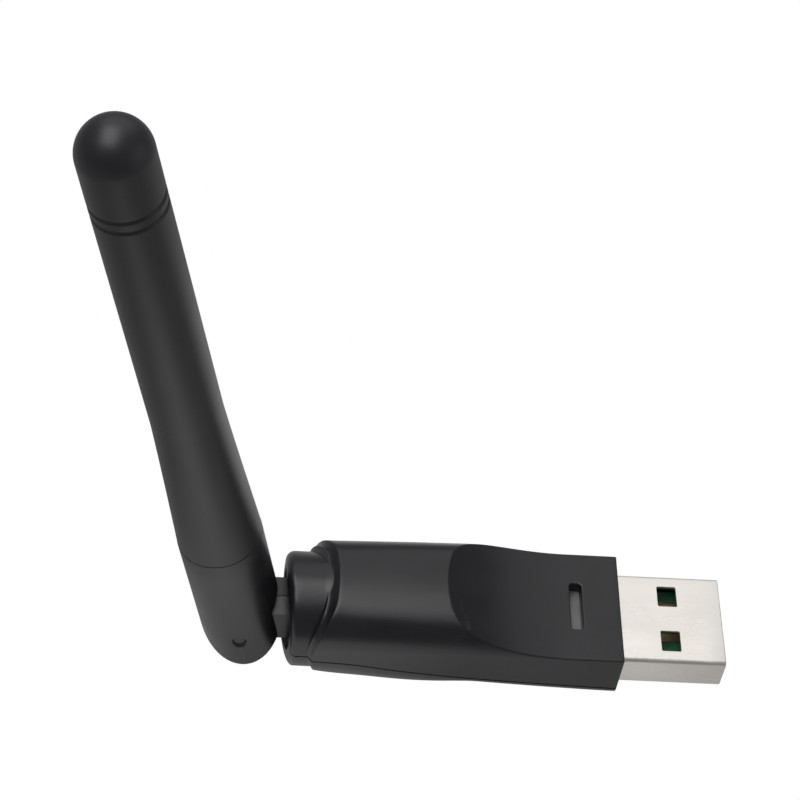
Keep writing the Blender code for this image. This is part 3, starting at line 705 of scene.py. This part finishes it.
# ---- Plug shell ----
SHEET = 0.3
PLUG_CORNER = 0.5
RIM = 0.11
LATCH_FRONT_X = PLUG_HIGH[0] - 5.16
LATCH_LENGTH = 2.2
LATCH_WIDTH = 2.7
LATCH_PITCH = 6.16
LATCH_CORNER = 0.14
# A latch hole, as (depth under the surface, how much wider it is there).
LATCH_STEPS = [(1.2, 0.0), (0.07, 0.0), (0.03, 0.015), (0.0, 0.05), (-0.5, 0.06)]
FOLD_GAP_HALF = 0.03  # half the width of the sheet's dovetailed seam underneath
FOLD_DEPTH = 0.12
FOLD_STEP = 0.55


def plug_ring(x, inset):
    half_y, half_z, corner = PLUG_HIGH[1] - inset, PLUG_HIGH[2] - inset, PLUG_CORNER - inset
    ring = []
    for sy, sz, start in QUARTERS:
        centre = (sy * (half_y - corner), sz * (half_z - corner))
        ring += arc(centre, corner, start, start + 90, 8)
    return [(x, y, z) for y, z in ring]


plug_root, plug_mouth = PLUG_LOW[0], PLUG_HIGH[0]
outside_xs = (plug_root, plug_root + 2.0, plug_root + 6.0, plug_mouth - 2.0)
plug_rows = [plug_ring(x, 0.0) for x in outside_xs]
for a in turns(0, 90, 5):
    plug_rows.append(plug_ring(plug_mouth - RIM + RIM * math.sin(a), RIM * (1 - math.cos(a))))
plug_rows += [plug_ring(plug_mouth - 0.05, SHEET - 0.05), plug_ring(plug_mouth - 0.14, SHEET)]
plug_rows += [plug_ring(x, SHEET) for x in (plug_mouth - 3.0, plug_root + 3.0, plug_root)]
plug = torus_of("plug_shell", plug_rows)
plug_cuts = []
for side in (-1, 1):
    for face in (-1, 1):
        rows = []
        for depth, grow in LATCH_STEPS:
            middle_x = LATCH_FRONT_X - LATCH_LENGTH / 2
            ring = rounded_rectangle(
                middle_x, LATCH_LENGTH / 2, LATCH_WIDTH / 2, LATCH_CORNER, grow
            )
            z = face * (PLUG_HIGH[2] - depth)
            rows.append([(x, y + side * LATCH_PITCH / 2, z) for x, y in ring])
        plug_cuts.append((tube_of(f"latch_hole_{side}_{face}", rows), "DIFFERENCE"))
fold_line = [
    (plug_root - 1, 0.0),
    (0.8, 0.0),
    (1.3, FOLD_STEP),
    (2.9, FOLD_STEP),
    (3.4, 0.0),
    (7.4, 0.0),
    (7.9, -FOLD_STEP),
    (9.5, -FOLD_STEP),
    (10.0, 0.0),
    (plug_mouth + 1, 0.0),
]
fold_ring = [(x, y + FOLD_GAP_HALF) for x, y in fold_line]
fold_ring += [(x, y - FOLD_GAP_HALF) for x, y in reversed(fold_line)]
fold_ends = (-PLUG_HIGH[2] - 0.2, -PLUG_HIGH[2] + FOLD_DEPTH)
plug_seam = tube_of("plug_seam", [[(x, y, z) for x, y in fold_ring] for z in fold_ends])
plug_cuts.append((plug_seam, "DIFFERENCE"))
settle(plug, plug_cuts, sharp_degrees=35.0)

# ---- Swivel neck, about the swivel's own axis ----
disc_face = DISC_FACE_X - PIVOT[0]
flange_tail = GROOVE_TAIL_X + WASHER_THICK + 2 * AXIAL_PLAY - PIVOT[0]
flange_front = flange_tail + FLANGE_THICK
neck_turn = [
    (0.0, flange_front),
    (FLANGE_RADIUS, flange_front),
    (FLANGE_RADIUS, flange_tail),
    (DISC_RADIUS, flange_tail),
    (DISC_RADIUS, disc_face + DISC_EDGE),
]
for a in turns(15, 90, 5):
    radius = DISC_RADIUS - DISC_EDGE + DISC_EDGE * math.cos(a)
    neck_turn.append((radius, disc_face + DISC_EDGE - DISC_EDGE * math.sin(a)))
neck_turn += [
    (DISC_RADIUS - 0.72, disc_face),
    (DISC_RADIUS - 0.78, disc_face + 0.03),
    (DISC_RADIUS - 0.95, disc_face + 0.4),
    (0.0, disc_face + 0.4),
]
neck = turned("neck", neck_turn, "X", 144, TO_SWIVEL)
tab_section = [
    (-TAB_HALF_WIDTH, -TAB_RADIUS),
    (TAB_HALF_WIDTH, -TAB_RADIUS),
    (TAB_HALF_WIDTH, TAB_RADIUS),
    (0.0, TAB_RADIUS),
    (-0.12, TAB_RADIUS - 0.1),
    (-TAB_HALF_WIDTH, TAB_RADIUS - TAB_SLOPE),
]
tab = tube_of("neck_tab", [[(x, y, z) for y, z in tab_section] for x in (0.0, disc_face + 0.8)])
tab.data.transform(TO_SWIVEL)
tab_sides = (-TAB_HALF_WIDTH, TAB_HALF_WIDTH)
eye = rod_across("neck_eye", tab_sides, TAB_RADIUS, 96, TO_HINGE, edge=TAB_EDGE)
lead_turn = [(0.0, -6.0), (LEAD_BORE, -6.0), (LEAD_BORE, 12.0), (0.0, 12.0)]
lead_bore = turned("lead_bore", lead_turn, "X", 40, TO_SWIVEL)
neck_cuts = [(tab, "UNION"), (eye, "UNION"), (lead_bore, "DIFFERENCE")]
for side, sign in SIDES:
    ends = (sign * 1.2, sign * 6.0)
    socket = rod_across(f"neck_socket_{side}", ends, PIN_RADIUS + 2 * PIN_SEAT, 56, TO_HINGE)
    neck_cuts.append((socket, "DIFFERENCE"))
settle(neck, neck_cuts)

# ---- Antenna base ----
AROUND = turns(0, 357.5, 143)
base_turn = [
    (0.1, SPIGOT_TOP),
    (SPIGOT_RADIUS - 0.3, SPIGOT_TOP),
    (SPIGOT_RADIUS, SPIGOT_TOP - 0.3),
    (SPIGOT_RADIUS, BASE_TOP),
]
for a in turns(0, 90, 5):
    radius = BASE_RADIUS - BASE_RIM + BASE_RIM * math.sin(a)
    base_turn.append((radius, BASE_TOP - BASE_RIM + BASE_RIM * math.cos(a)))
base_turn += [(BASE_RADIUS, height) for height in (12.0, 9.0, 6.0, 3.0, 1.0)]
base_rows = [[(r * math.cos(a), r * math.sin(a), h) for a in AROUND] for r, h in base_turn]


def heel(radius, angle):
    """A point of the fork's end, which is round about the hinge, with a softened rim."""
    x, y = radius * math.cos(angle), radius * math.sin(angle)
    into = max(0.0, radius - BASE_RADIUS + HEEL_ROUND)
    lift = HEEL_ROUND - math.sqrt(HEEL_ROUND**2 - into**2)
    round_end = -math.sqrt(BASE_RADIUS**2 - min(x * x, BASE_RADIUS**2))
    return (x, y, min(0.5, round_end + lift))


heel_radii = [BASE_RADIUS - HEEL_ROUND * (1 - math.sin(a)) for a in turns(90, 0, 8)]
heel_radii += [3.6, 2.8, 2.0, 1.2, 0.5, 0.05]
base_rows += [[heel(radius, a) for a in AROUND] for radius in heel_radii]
base = tube_of("base", base_rows)
base.data.transform(TO_ANTENNA)
fork_reach = TAB_RADIUS + FORK_GAP
slot_half = TAB_HALF_WIDTH + FORK_SIDE_GAP
fork_low = (-fork_reach, -slot_half, -9.0)
fork_high = (9.0, slot_half, fork_reach + PIVOT[2] - HINGE[2])
fork = box("fork_slot", fork_low, fork_high, TO_ANTENNA, edge=0.1)
bore_line = [(0.0, 0.5), (LEAD_BORE, 0.5), (LEAD_BORE, 30.0), (0.0, 30.0)]
base_bore = turned("base_bore", bore_line, "Z", 40, TO_ANTENNA)
base_cuts = [(fork, "DIFFERENCE"), (base_bore, "DIFFERENCE")]
flare_low = BASE_RADIUS - SOCKET_FLARE_DEPTH
flare_turn = [
    (0.0, BASE_RADIUS - 0.7),
    (PIN_RADIUS, BASE_RADIUS - 0.7),
    (PIN_RADIUS, flare_low),
    (PIN_RADIUS + 2 * SOCKET_FLARE, flare_low + 2 * SOCKET_FLARE),
    (0.0, flare_low + 2 * SOCKET_FLARE),
]
pins = []
for side, sign in SIDES:
    ends = (sign * 1.0, sign * (BASE_RADIUS + 1.0))
    socket = rod_across(f"base_socket_{side}", ends, PIN_RADIUS + PIN_SEAT, 56, TO_ANTENNA)
    rim = turned(f"socket_rim_{side}", flare_turn, "Z", 72)
    rim.data.transform(TO_ANTENNA @ Matrix.Rotation(-sign * math.pi / 2, 4, "X"))
    base_cuts += [(socket, "DIFFERENCE"), (rim, "DIFFERENCE")]
    ends = (sign * 1.3, sign * (BASE_RADIUS - PIN_RECESS))
    pin = rod_across(f"pin_{side}", ends, PIN_RADIUS, 72, TO_ANTENNA, edge=PIN_EDGE)
    pins.append(settle(pin, []))
settle(base, base_cuts)


# ---- Antenna sleeve ----
def sleeve_radius(height):
    """The sleeve flares below its waist, and is nearly straight above it."""
    if height < WAIST_Z:
        share = (WAIST_Z - height) / (WAIST_Z - SLEEVE_FOOT)
        return WAIST_RADIUS + (FOOT_RADIUS - WAIST_RADIUS) * share**FLARE_POWER
    return WAIST_RADIUS + (TIP_RADIUS - WAIST_RADIUS) * (height - WAIST_Z) / (TIP_Z - WAIST_Z)


def groove(height):
    """How far the two shallow rings near the tip are cut in."""
    depth = 0.0
    for middle in GROOVE_HEIGHTS:
        away = abs(height - middle) / GROOVE_HALF
        if away < 1.0:
            depth = GROOVE_DEPTH * (0.5 + 0.5 * math.cos(math.pi * away)) ** 0.7
    return depth


heights = [SLEEVE_FOOT + 0.2 + (WAIST_Z + 4 - SLEEVE_FOOT) * i / 60 for i in range(61)]
heights += [*np.linspace(42.0, 66.5, 14), *np.linspace(67.0, 70.6, 73), 71.5, 72.6, 73.7]
rim_radius = sleeve_radius(SLEEVE_FOOT) - SLEEVE_RIM
sleeve_turn = [
    (0.0, SLEEVE_BORE_TOP),
    (SLEEVE_BORE, SLEEVE_BORE_TOP),
    (SLEEVE_BORE, SLEEVE_FOOT),
    (rim_radius, SLEEVE_FOOT),
]
for a in turns(15, 75, 4):
    height = SLEEVE_FOOT + SLEEVE_RIM - SLEEVE_RIM * math.cos(a)
    sleeve_turn.append((rim_radius + SLEEVE_RIM * math.sin(a), height))
sleeve_turn += [(sleeve_radius(height) - groove(height), height) for height in heights]
sleeve_turn += arc((0.0, TIP_Z), TIP_RADIUS, 0, 88, 40)
sleeve_turn += [(0.0, TIP_Z + TIP_RADIUS)]
sleeve = turned("sleeve", sleeve_turn, "Z", 144, TO_ANTENNA)
settle(sleeve, [], sharp_degrees=50.0)

# ---- Light pipe under the window ----
light_pipe = box("light_pipe", PIPE_LOW, PIPE_HIGH, edge=0.12)
settle(light_pipe, [])


# ---- Materials ----
MOTTLE_BAND = (0.35, 0.65)  # the middle of a noise's range, which the colours are spread over
GRAIN_BAND = (0.3, 0.7)
MOTTLE_WEIGHT = 0.6
GRAIN_WEIGHT = 0.4
# Edges this pointy get the edge colour: partly real wear, partly a painted highlight where edges
# would catch the light.
WORN_AND_SHEEN_POINTINESS = (0.53, 0.62)
WORN_AND_SHEEN_SHARE = 0.5


def add(tree, kind, **inputs):
    """A node with its inputs set by name, an underscore standing for a space."""
    node = tree.nodes.new(kind)
    for key, value in inputs.items():
        node.inputs[key.replace("_", " ")].default_value = value
    return node


def finish(
    name,
    dark,
    light,
    rough,
    spread=0.04,
    metallic=0.0,
    grain=0.11,
    grain_height=0.004,
    swell=1.4,
    swell_height=0.002,
    mottle=5.0,
    stretch=(1.0, 1.0, 1.0),
    edge=0.0,
    wear_and_edge_sheen=None,
):
    """A moulded or plated surface, mottled between two colours. Its sharp convex edges take the
    edge colour, which is partly real wear and partly a painted highlight.

    The sizes and heights of its grain, swell and mottling are in millimetres, and so is edge,
    the radius that its edges are shaded with.
    """
    material = bpy.data.materials.new(name)
    material.use_nodes = True
    tree = material.node_tree
    shader = tree.nodes["Principled BSDF"]
    wire = tree.links.new
    shader.inputs["Metallic"].default_value = metallic
    where = tree.nodes.new("ShaderNodeTexCoord")
    mapping = tree.nodes.new("ShaderNodeMapping")
    mapping.inputs["Scale"].default_value = stretch
    wire(where.outputs["Object"], mapping.inputs["Vector"])

    def noise(size, detail, roughness):
        scale = 1.0 / (size * MM)
        node = add(tree, "ShaderNodeTexNoise", Scale=scale, Detail=detail, Roughness=roughness)
        wire(mapping.outputs["Vector"], node.inputs["Vector"])
        return node.outputs["Fac"]

    def spread_over(source, low, high, to_low, to_high):
        node = add(tree, "ShaderNodeMapRange", From_Min=low, From_Max=high)
        node.inputs["To Min"].default_value = to_low
        node.inputs["To Max"].default_value = to_high
        wire(source, node.inputs["Value"])
        return node.outputs["Result"]

    mottling = noise(mottle, 4.0, 0.55)
    grains = noise(grain, 3.0, 0.6)
    swells = noise(swell, 2.0, 0.5)
    colour = tree.nodes.new("ShaderNodeMix")
    colour.data_type = "RGBA"
    colour.inputs["A"].default_value = (*dark, 1.0)
    colour.inputs["B"].default_value = (*light, 1.0)
    share = tree.nodes.new("ShaderNodeMath")
    share.operation = "MULTIPLY_ADD"
    wire(spread_over(mottling, *MOTTLE_BAND, 0.0, 1.0), share.inputs[0])
    share.inputs[1].default_value = MOTTLE_WEIGHT
    wire(spread_over(grains, *GRAIN_BAND, 0.0, GRAIN_WEIGHT), share.inputs[2])
    wire(share.outputs["Value"], colour.inputs["Factor"])
    base_colour = colour.outputs["Result"]
    roughness_value = spread_over(mottling, *GRAIN_BAND, rough - spread, rough + spread)
    # Sharp convex edges are mixed towards the edge colour, partly as real wear and partly as a
    # painted highlight.
    if wear_and_edge_sheen is not None:
        geometry = tree.nodes.new("ShaderNodeNewGeometry")
        edges = spread_over(geometry.outputs["Pointiness"], *WORN_AND_SHEEN_POINTINESS, 0.0, WORN_AND_SHEEN_SHARE)
        broken = tree.nodes.new("ShaderNodeMath")
        broken.operation = "MULTIPLY"
        wire(edges, broken.inputs[0])
        wire(spread_over(noise(0.7, 4.0, 0.7), 0.4, 0.6, 0.15, 1.0), broken.inputs[1])
        worn_and_sheen = tree.nodes.new("ShaderNodeMix")
        worn_and_sheen.data_type = "RGBA"
        wire(broken.outputs["Value"], worn_and_sheen.inputs["Factor"])
        wire(base_colour, worn_and_sheen.inputs["A"])
        worn_and_sheen.inputs["B"].default_value = (*wear_and_edge_sheen, 1.0)
        base_colour = worn_and_sheen.outputs["Result"]
    wire(base_colour, shader.inputs["Base Color"])
    wire(roughness_value, shader.inputs["Roughness"])
    bump_coarse = add(tree, "ShaderNodeBump", Strength=1.0, Distance=swell_height * MM)
    wire(swells, bump_coarse.inputs["Height"])
    bump_fine = add(tree, "ShaderNodeBump", Strength=1.0, Distance=grain_height * MM)
    wire(grains, bump_fine.inputs["Height"])
    wire(bump_coarse.outputs["Normal"], bump_fine.inputs["Normal"])
    if edge:
        rounded = add(tree, "ShaderNodeBevel", Radius=edge * MM)
        rounded.samples = 6
        wire(rounded.outputs["Normal"], bump_coarse.inputs["Normal"])
    wire(bump_fine.outputs["Normal"], shader.inputs["Normal"])
    return material


UPPER_PLASTIC = finish(
    "upper_shell",
    (0.0085, 0.0085, 0.0105),
    (0.0125, 0.0125, 0.015),
    0.31,
    edge=0.09,
    wear_and_edge_sheen=(0.035, 0.035, 0.037),
)
LOWER_PLASTIC = finish(
    "lower_shell",
    (0.009, 0.009, 0.01),
    (0.0135, 0.0135, 0.0145),
    0.33,
    edge=0.09,
    wear_and_edge_sheen=(0.035, 0.035, 0.037),
)
NECK_PLASTIC = finish(
    "swivel_plastic",
    (0.012, 0.012, 0.013),
    (0.018, 0.018, 0.019),
    0.34,
    grain_height=0.002,
    edge=0.08,
    wear_and_edge_sheen=(0.05, 0.05, 0.052),
)
BASE_PLASTIC = finish(
    "antenna_base_plastic",
    (0.011, 0.011, 0.0128),
    (0.016, 0.016, 0.0185),
    0.36,
    edge=0.08,
    wear_and_edge_sheen=(0.04, 0.04, 0.042),
)
SLEEVE_RUBBER = finish(
    "antenna_sleeve_rubber",
    (0.013, 0.013, 0.0155),
    (0.019, 0.019, 0.0225),
    0.42,
    0.03,
    grain=0.09,
    grain_height=0.005,
    mottle=8.0,
)
PIN_PLASTIC = finish(
    "pin_plastic",
    (0.014, 0.014, 0.015),
    (0.02, 0.02, 0.021),
    0.36,
    wear_and_edge_sheen=(0.06, 0.06, 0.062),
)
NICKEL = finish(
    "nickel_plate",
    (0.9, 0.855, 0.8),
    (0.96, 0.915, 0.86),
    0.27,
    0.05,
    metallic=1.0,
    grain=0.4,
    grain_height=0.0003,
    swell=2.2,
    swell_height=0.0006,
    mottle=3.0,
    stretch=(0.22, 1.0, 1.0),
    wear_and_edge_sheen=(0.86, 0.84, 0.8),
)
BOARD = finish(
    "circuit_board",
    (0.008, 0.075, 0.035),
    (0.02, 0.13, 0.065),
    0.4,
    mottle=1.2,
    grain=0.2,
    swell_height=0.008,
)
GOLD = finish(
    "gold_contact",
    (0.5, 0.37, 0.25),
    (0.66, 0.5, 0.36),
    0.3,
    metallic=1.0,
    mottle=0.8,
    stretch=(0.2, 1.0, 1.0),
)
INSERT = finish("insert_plastic", (0.016, 0.016, 0.016), (0.03, 0.03, 0.03), 0.5)
CHIP = finish(
    "chip_resin",
    (0.012, 0.012, 0.013),
    (0.024, 0.024, 0.026),
    0.5,
    grain=0.06,
    grain_height=0.006,
)
CAN_STEEL = finish(
    "can_steel",
    (0.5, 0.5, 0.48),
    (0.62, 0.62, 0.6),
    0.28,
    metallic=1.0,
    mottle=0.8,
)
CERAMIC = finish("ceramic", (0.3, 0.2, 0.12), (0.46, 0.33, 0.22), 0.5, mottle=0.5)
RESISTOR = finish("resistor_glaze", (0.012, 0.012, 0.014), (0.03, 0.03, 0.034), 0.3, mottle=0.5)
LED = finish("led_resin", (0.6, 0.64, 0.5), (0.78, 0.82, 0.7), 0.3, mottle=0.5)
PIPE = finish(
    "light_pipe",
    (0.16, 0.16, 0.165),
    (0.21, 0.21, 0.215),
    0.32,
    mottle=1.4,
    grain_height=0.002,
)
SOLDER = finish(
    "solder",
    (0.48, 0.48, 0.5),
    (0.66, 0.66, 0.68),
    0.34,
    metallic=1.0,
    mottle=0.5,
    swell=0.5,
    swell_height=0.02,
)
JACKET = finish("coax_jacket", (0.02, 0.02, 0.021), (0.04, 0.04, 0.042), 0.45, mottle=1.5)
WASHER = finish(
    "washer_steel",
    (0.4, 0.4, 0.41),
    (0.56, 0.56, 0.57),
    0.3,
    metallic=1.0,
    mottle=0.8,
)
COPPER = finish("copper", (0.5, 0.22, 0.12), (0.72, 0.38, 0.24), 0.34, metallic=1.0, mottle=1.5)
NYLON = finish("spacer_nylon", (0.6, 0.6, 0.56), (0.72, 0.72, 0.68), 0.45, mottle=1.0)

PIECES = [
    (upper, UPPER_PLASTIC, "upper_shell", "adapter", "upper_housing"),
    (lower, LOWER_PLASTIC, "lower_shell", "adapter", "lower_housing"),
    (plug, NICKEL, "nickel_plate", "adapter", "usb_shell"),
    (light_pipe, PIPE, "light_pipe", "adapter", "window_light_pipe"),
    (neck, NECK_PLASTIC, "swivel_plastic", "swivel", "swivel_neck"),
    (base, BASE_PLASTIC, "antenna_base_plastic", "antenna", "antenna_base"),
    (sleeve, SLEEVE_RUBBER, "antenna_sleeve_rubber", "antenna", "antenna_sleeve"),
    (pins[0], PIN_PLASTIC, "pin_plastic", "antenna", "hinge_pin_left"),
    (pins[1], PIN_PLASTIC, "pin_plastic", "antenna", "hinge_pin_right"),
]
for piece, material, slot_name, body, node in PIECES:
    piece.data.materials.clear()
    piece.data.materials.append(material)
    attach(piece, body)
    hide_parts(node)

CARRIED = {
    "main_board": BOARD,
    "plug_insert": INSERT,
    "tongue_spacer": INSERT,
    "contact_ground": GOLD,
    "contact_data_plus": GOLD,
    "contact_data_minus": GOLD,
    "contact_power": GOLD,
    "wifi_chip": CHIP,
    "memory_chip": CHIP,
    "voltage_regulator": CHIP,
    "crystal_can": CAN_STEEL,
    "input_capacitor": CERAMIC,
    "output_capacitor": CERAMIC,
    "filter_capacitor": CERAMIC,
    "matching_inductor": CERAMIC,
    "matching_capacitor": CERAMIC,
    "led_resistor": RESISTOR,
    "bias_resistor": RESISTOR,
    "status_led": LED,
    "feed_solder_joint": SOLDER,
    "ground_solder_joint": SOLDER,
    "coax_board_lead": JACKET,
    "coax_swivel_lead": JACKET,
    "coax_antenna_lead": JACKET,
    "friction_washer": WASHER,
    "radiator_tube": COPPER,
    "radiator_whip": COPPER,
    "whip_spacer": NYLON,
}
for node, material in CARRIED.items():
    for material_slot in frame["nodes"][node].material_slots:
        material_slot.material = material

# ---- Camera ----
CAMERA_AT = (-0.0518007, -0.1609899, 0.2395619)
CAMERA_RIGHT = (0.994804741, -0.012883891, 0.100982832)
CAMERA_UP = (-0.053123071, 0.780490685, 0.622906277)
CAMERA_BACK = (-0.086841617, -0.625034635, 0.775751402)
camera_data = bpy.data.cameras.new("camera")
camera_data.sensor_width = 36.0
camera_data.lens = 112.5
camera_data.shift_x = 0.00274
camera_data.shift_y = 0.00118
camera_data.clip_start = 0.01
camera_data.clip_end = 10.0
camera = bpy.data.objects.new("camera", camera_data)
bpy.context.scene.collection.objects.link(camera)
turn_to = Matrix((CAMERA_RIGHT, CAMERA_UP, CAMERA_BACK)).transposed().to_4x4()
camera.matrix_world = Matrix.Translation(CAMERA_AT) @ turn_to
bpy.context.scene.camera = camera

# ---- Floor ----
# The camera sees it as white paper with no shadow, as in the photo. Other rays see it grey.
WHITE = (1.0, 1.0, 1.0, 1.0)
FLOOR_GAP = 0.0001
FLOOR_HALF = 3.0
FLOOR_GREY = (0.45, 0.45, 0.45, 1.0)
floor_shape = bmesh.new()
bmesh.ops.create_grid(floor_shape, x_segments=1, y_segments=1, size=FLOOR_HALF)
floor = from_shape("floor", floor_shape)
floor.location.z = CAD_BOX[0][2] - FLOOR_GAP
paper = bpy.data.materials.new("floor_paper")
paper.use_nodes = True
paper_tree = paper.node_tree
paper_tree.nodes.clear()
paper_wire = paper_tree.links.new
diffuse = add(paper_tree, "ShaderNodeBsdfDiffuse", Color=FLOOR_GREY)
glow = add(paper_tree, "ShaderNodeEmission", Color=WHITE, Strength=1.0)
seen = paper_tree.nodes.new("ShaderNodeLightPath")
# Soft patches of light, seen only in reflections: centre, reach along X and Y, strength.
BOUNCES = [
    ((-0.004, 0.03), 0.045, 0.045, 0.9),
    ((-0.045, -0.04), 0.034, 0.05, 1.15),
    ((-0.014, -0.018), 0.034, 0.02, 0.28),
]
paper_at = paper_tree.nodes.new("ShaderNodeTexCoord")
lit = diffuse.outputs["BSDF"]
for centre, reach_x, reach_y, strength in BOUNCES:
    patch = add(paper_tree, "ShaderNodeMapping", Scale=(1 / reach_x, 1 / reach_y, 1.0))
    patch.inputs["Location"].default_value = (-centre[0] / reach_x, -centre[1] / reach_y, 0.0)
    paper_wire(paper_at.outputs["Object"], patch.inputs["Vector"])
    fade = paper_tree.nodes.new("ShaderNodeTexGradient")
    fade.gradient_type = "SPHERICAL"
    paper_wire(patch.outputs["Vector"], fade.inputs["Vector"])
    level = paper_tree.nodes.new("ShaderNodeMath")
    level.operation = "MULTIPLY"
    paper_wire(fade.outputs["Fac"], level.inputs[0])
    level.inputs[1].default_value = strength
    bounce = add(paper_tree, "ShaderNodeEmission", Color=WHITE)
    paper_wire(level.outputs["Value"], bounce.inputs["Strength"])
    joined = paper_tree.nodes.new("ShaderNodeAddShader")
    paper_wire(lit, joined.inputs[0])
    paper_wire(bounce.outputs["Emission"], joined.inputs[1])
    lit = joined.outputs["Shader"]
choose = paper_tree.nodes.new("ShaderNodeMixShader")
paper_wire(seen.outputs["Is Camera Ray"], choose.inputs["Fac"])
paper_wire(lit, choose.inputs[1])
paper_wire(glow.outputs["Emission"], choose.inputs[2])
under = paper_tree.nodes.new("ShaderNodeNewGeometry")
clear = paper_tree.nodes.new("ShaderNodeBsdfTransparent")
one_sided = paper_tree.nodes.new("ShaderNodeMixShader")
paper_wire(under.outputs["Backfacing"], one_sided.inputs["Fac"])
paper_wire(choose.outputs["Shader"], one_sided.inputs[1])
paper_wire(clear.outputs["BSDF"], one_sided.inputs[2])
paper_out = paper_tree.nodes.new("ShaderNodeOutputMaterial")
paper_wire(one_sided.outputs["Shader"], paper_out.inputs["Surface"])
floor.data.materials.append(paper)

# ---- Light ----
# The camera sees a nearly white room, and the object is lit by a dim one and three softboxes.
world = bpy.data.worlds.new("studio")
bpy.context.scene.world = world
world.use_nodes = True
world_tree = world.node_tree
world_tree.nodes.clear()
dim = add(world_tree, "ShaderNodeBackground", Color=(0.96, 0.98, 1.0, 1.0), Strength=0.2)
bright = add(world_tree, "ShaderNodeBackground", Color=WHITE, Strength=0.95)
world_path = world_tree.nodes.new("ShaderNodeLightPath")
world_mix = world_tree.nodes.new("ShaderNodeMixShader")
world_tree.links.new(world_path.outputs["Is Camera Ray"], world_mix.inputs["Fac"])
world_tree.links.new(dim.outputs["Background"], world_mix.inputs[1])
world_tree.links.new(bright.outputs["Background"], world_mix.inputs[2])
world_out = world_tree.nodes.new("ShaderNodeOutputWorld")
world_tree.links.new(world_mix.outputs["Shader"], world_out.inputs["Surface"])

AIM = Vector((-0.02, 0.0, 0.02))


def softbox(name, direction, distance, width, height, radiance):
    """A rectangular light that faces the object. Radiance is what a mirror would show."""
    data = bpy.data.lights.new(name, "AREA")
    data.shape = "RECTANGLE"
    data.size = width
    data.size_y = height
    data.energy = radiance * math.pi * width * height
    light = bpy.data.objects.new(name, data)
    bpy.context.scene.collection.objects.link(light)
    away = Vector(direction).normalized()
    light.location = AIM + away * distance
    light.rotation_mode = "QUATERNION"
    light.rotation_quaternion = away.to_track_quat("Z", "Y")


softbox("light_overhead", (-0.27, 0.06, 1.0), 0.8, 0.75, 0.54, 3.1)
softbox("light_behind", (0.05, 1.0, 0.95), 0.9, 1.1, 0.8, 0.62)
softbox("light_right", (1.0, -0.25, 0.3), 0.9, 0.8, 0.5, 0.5)

scene = bpy.context.scene
scene.view_settings.view_transform = "Standard"
scene.view_settings.look = "None"
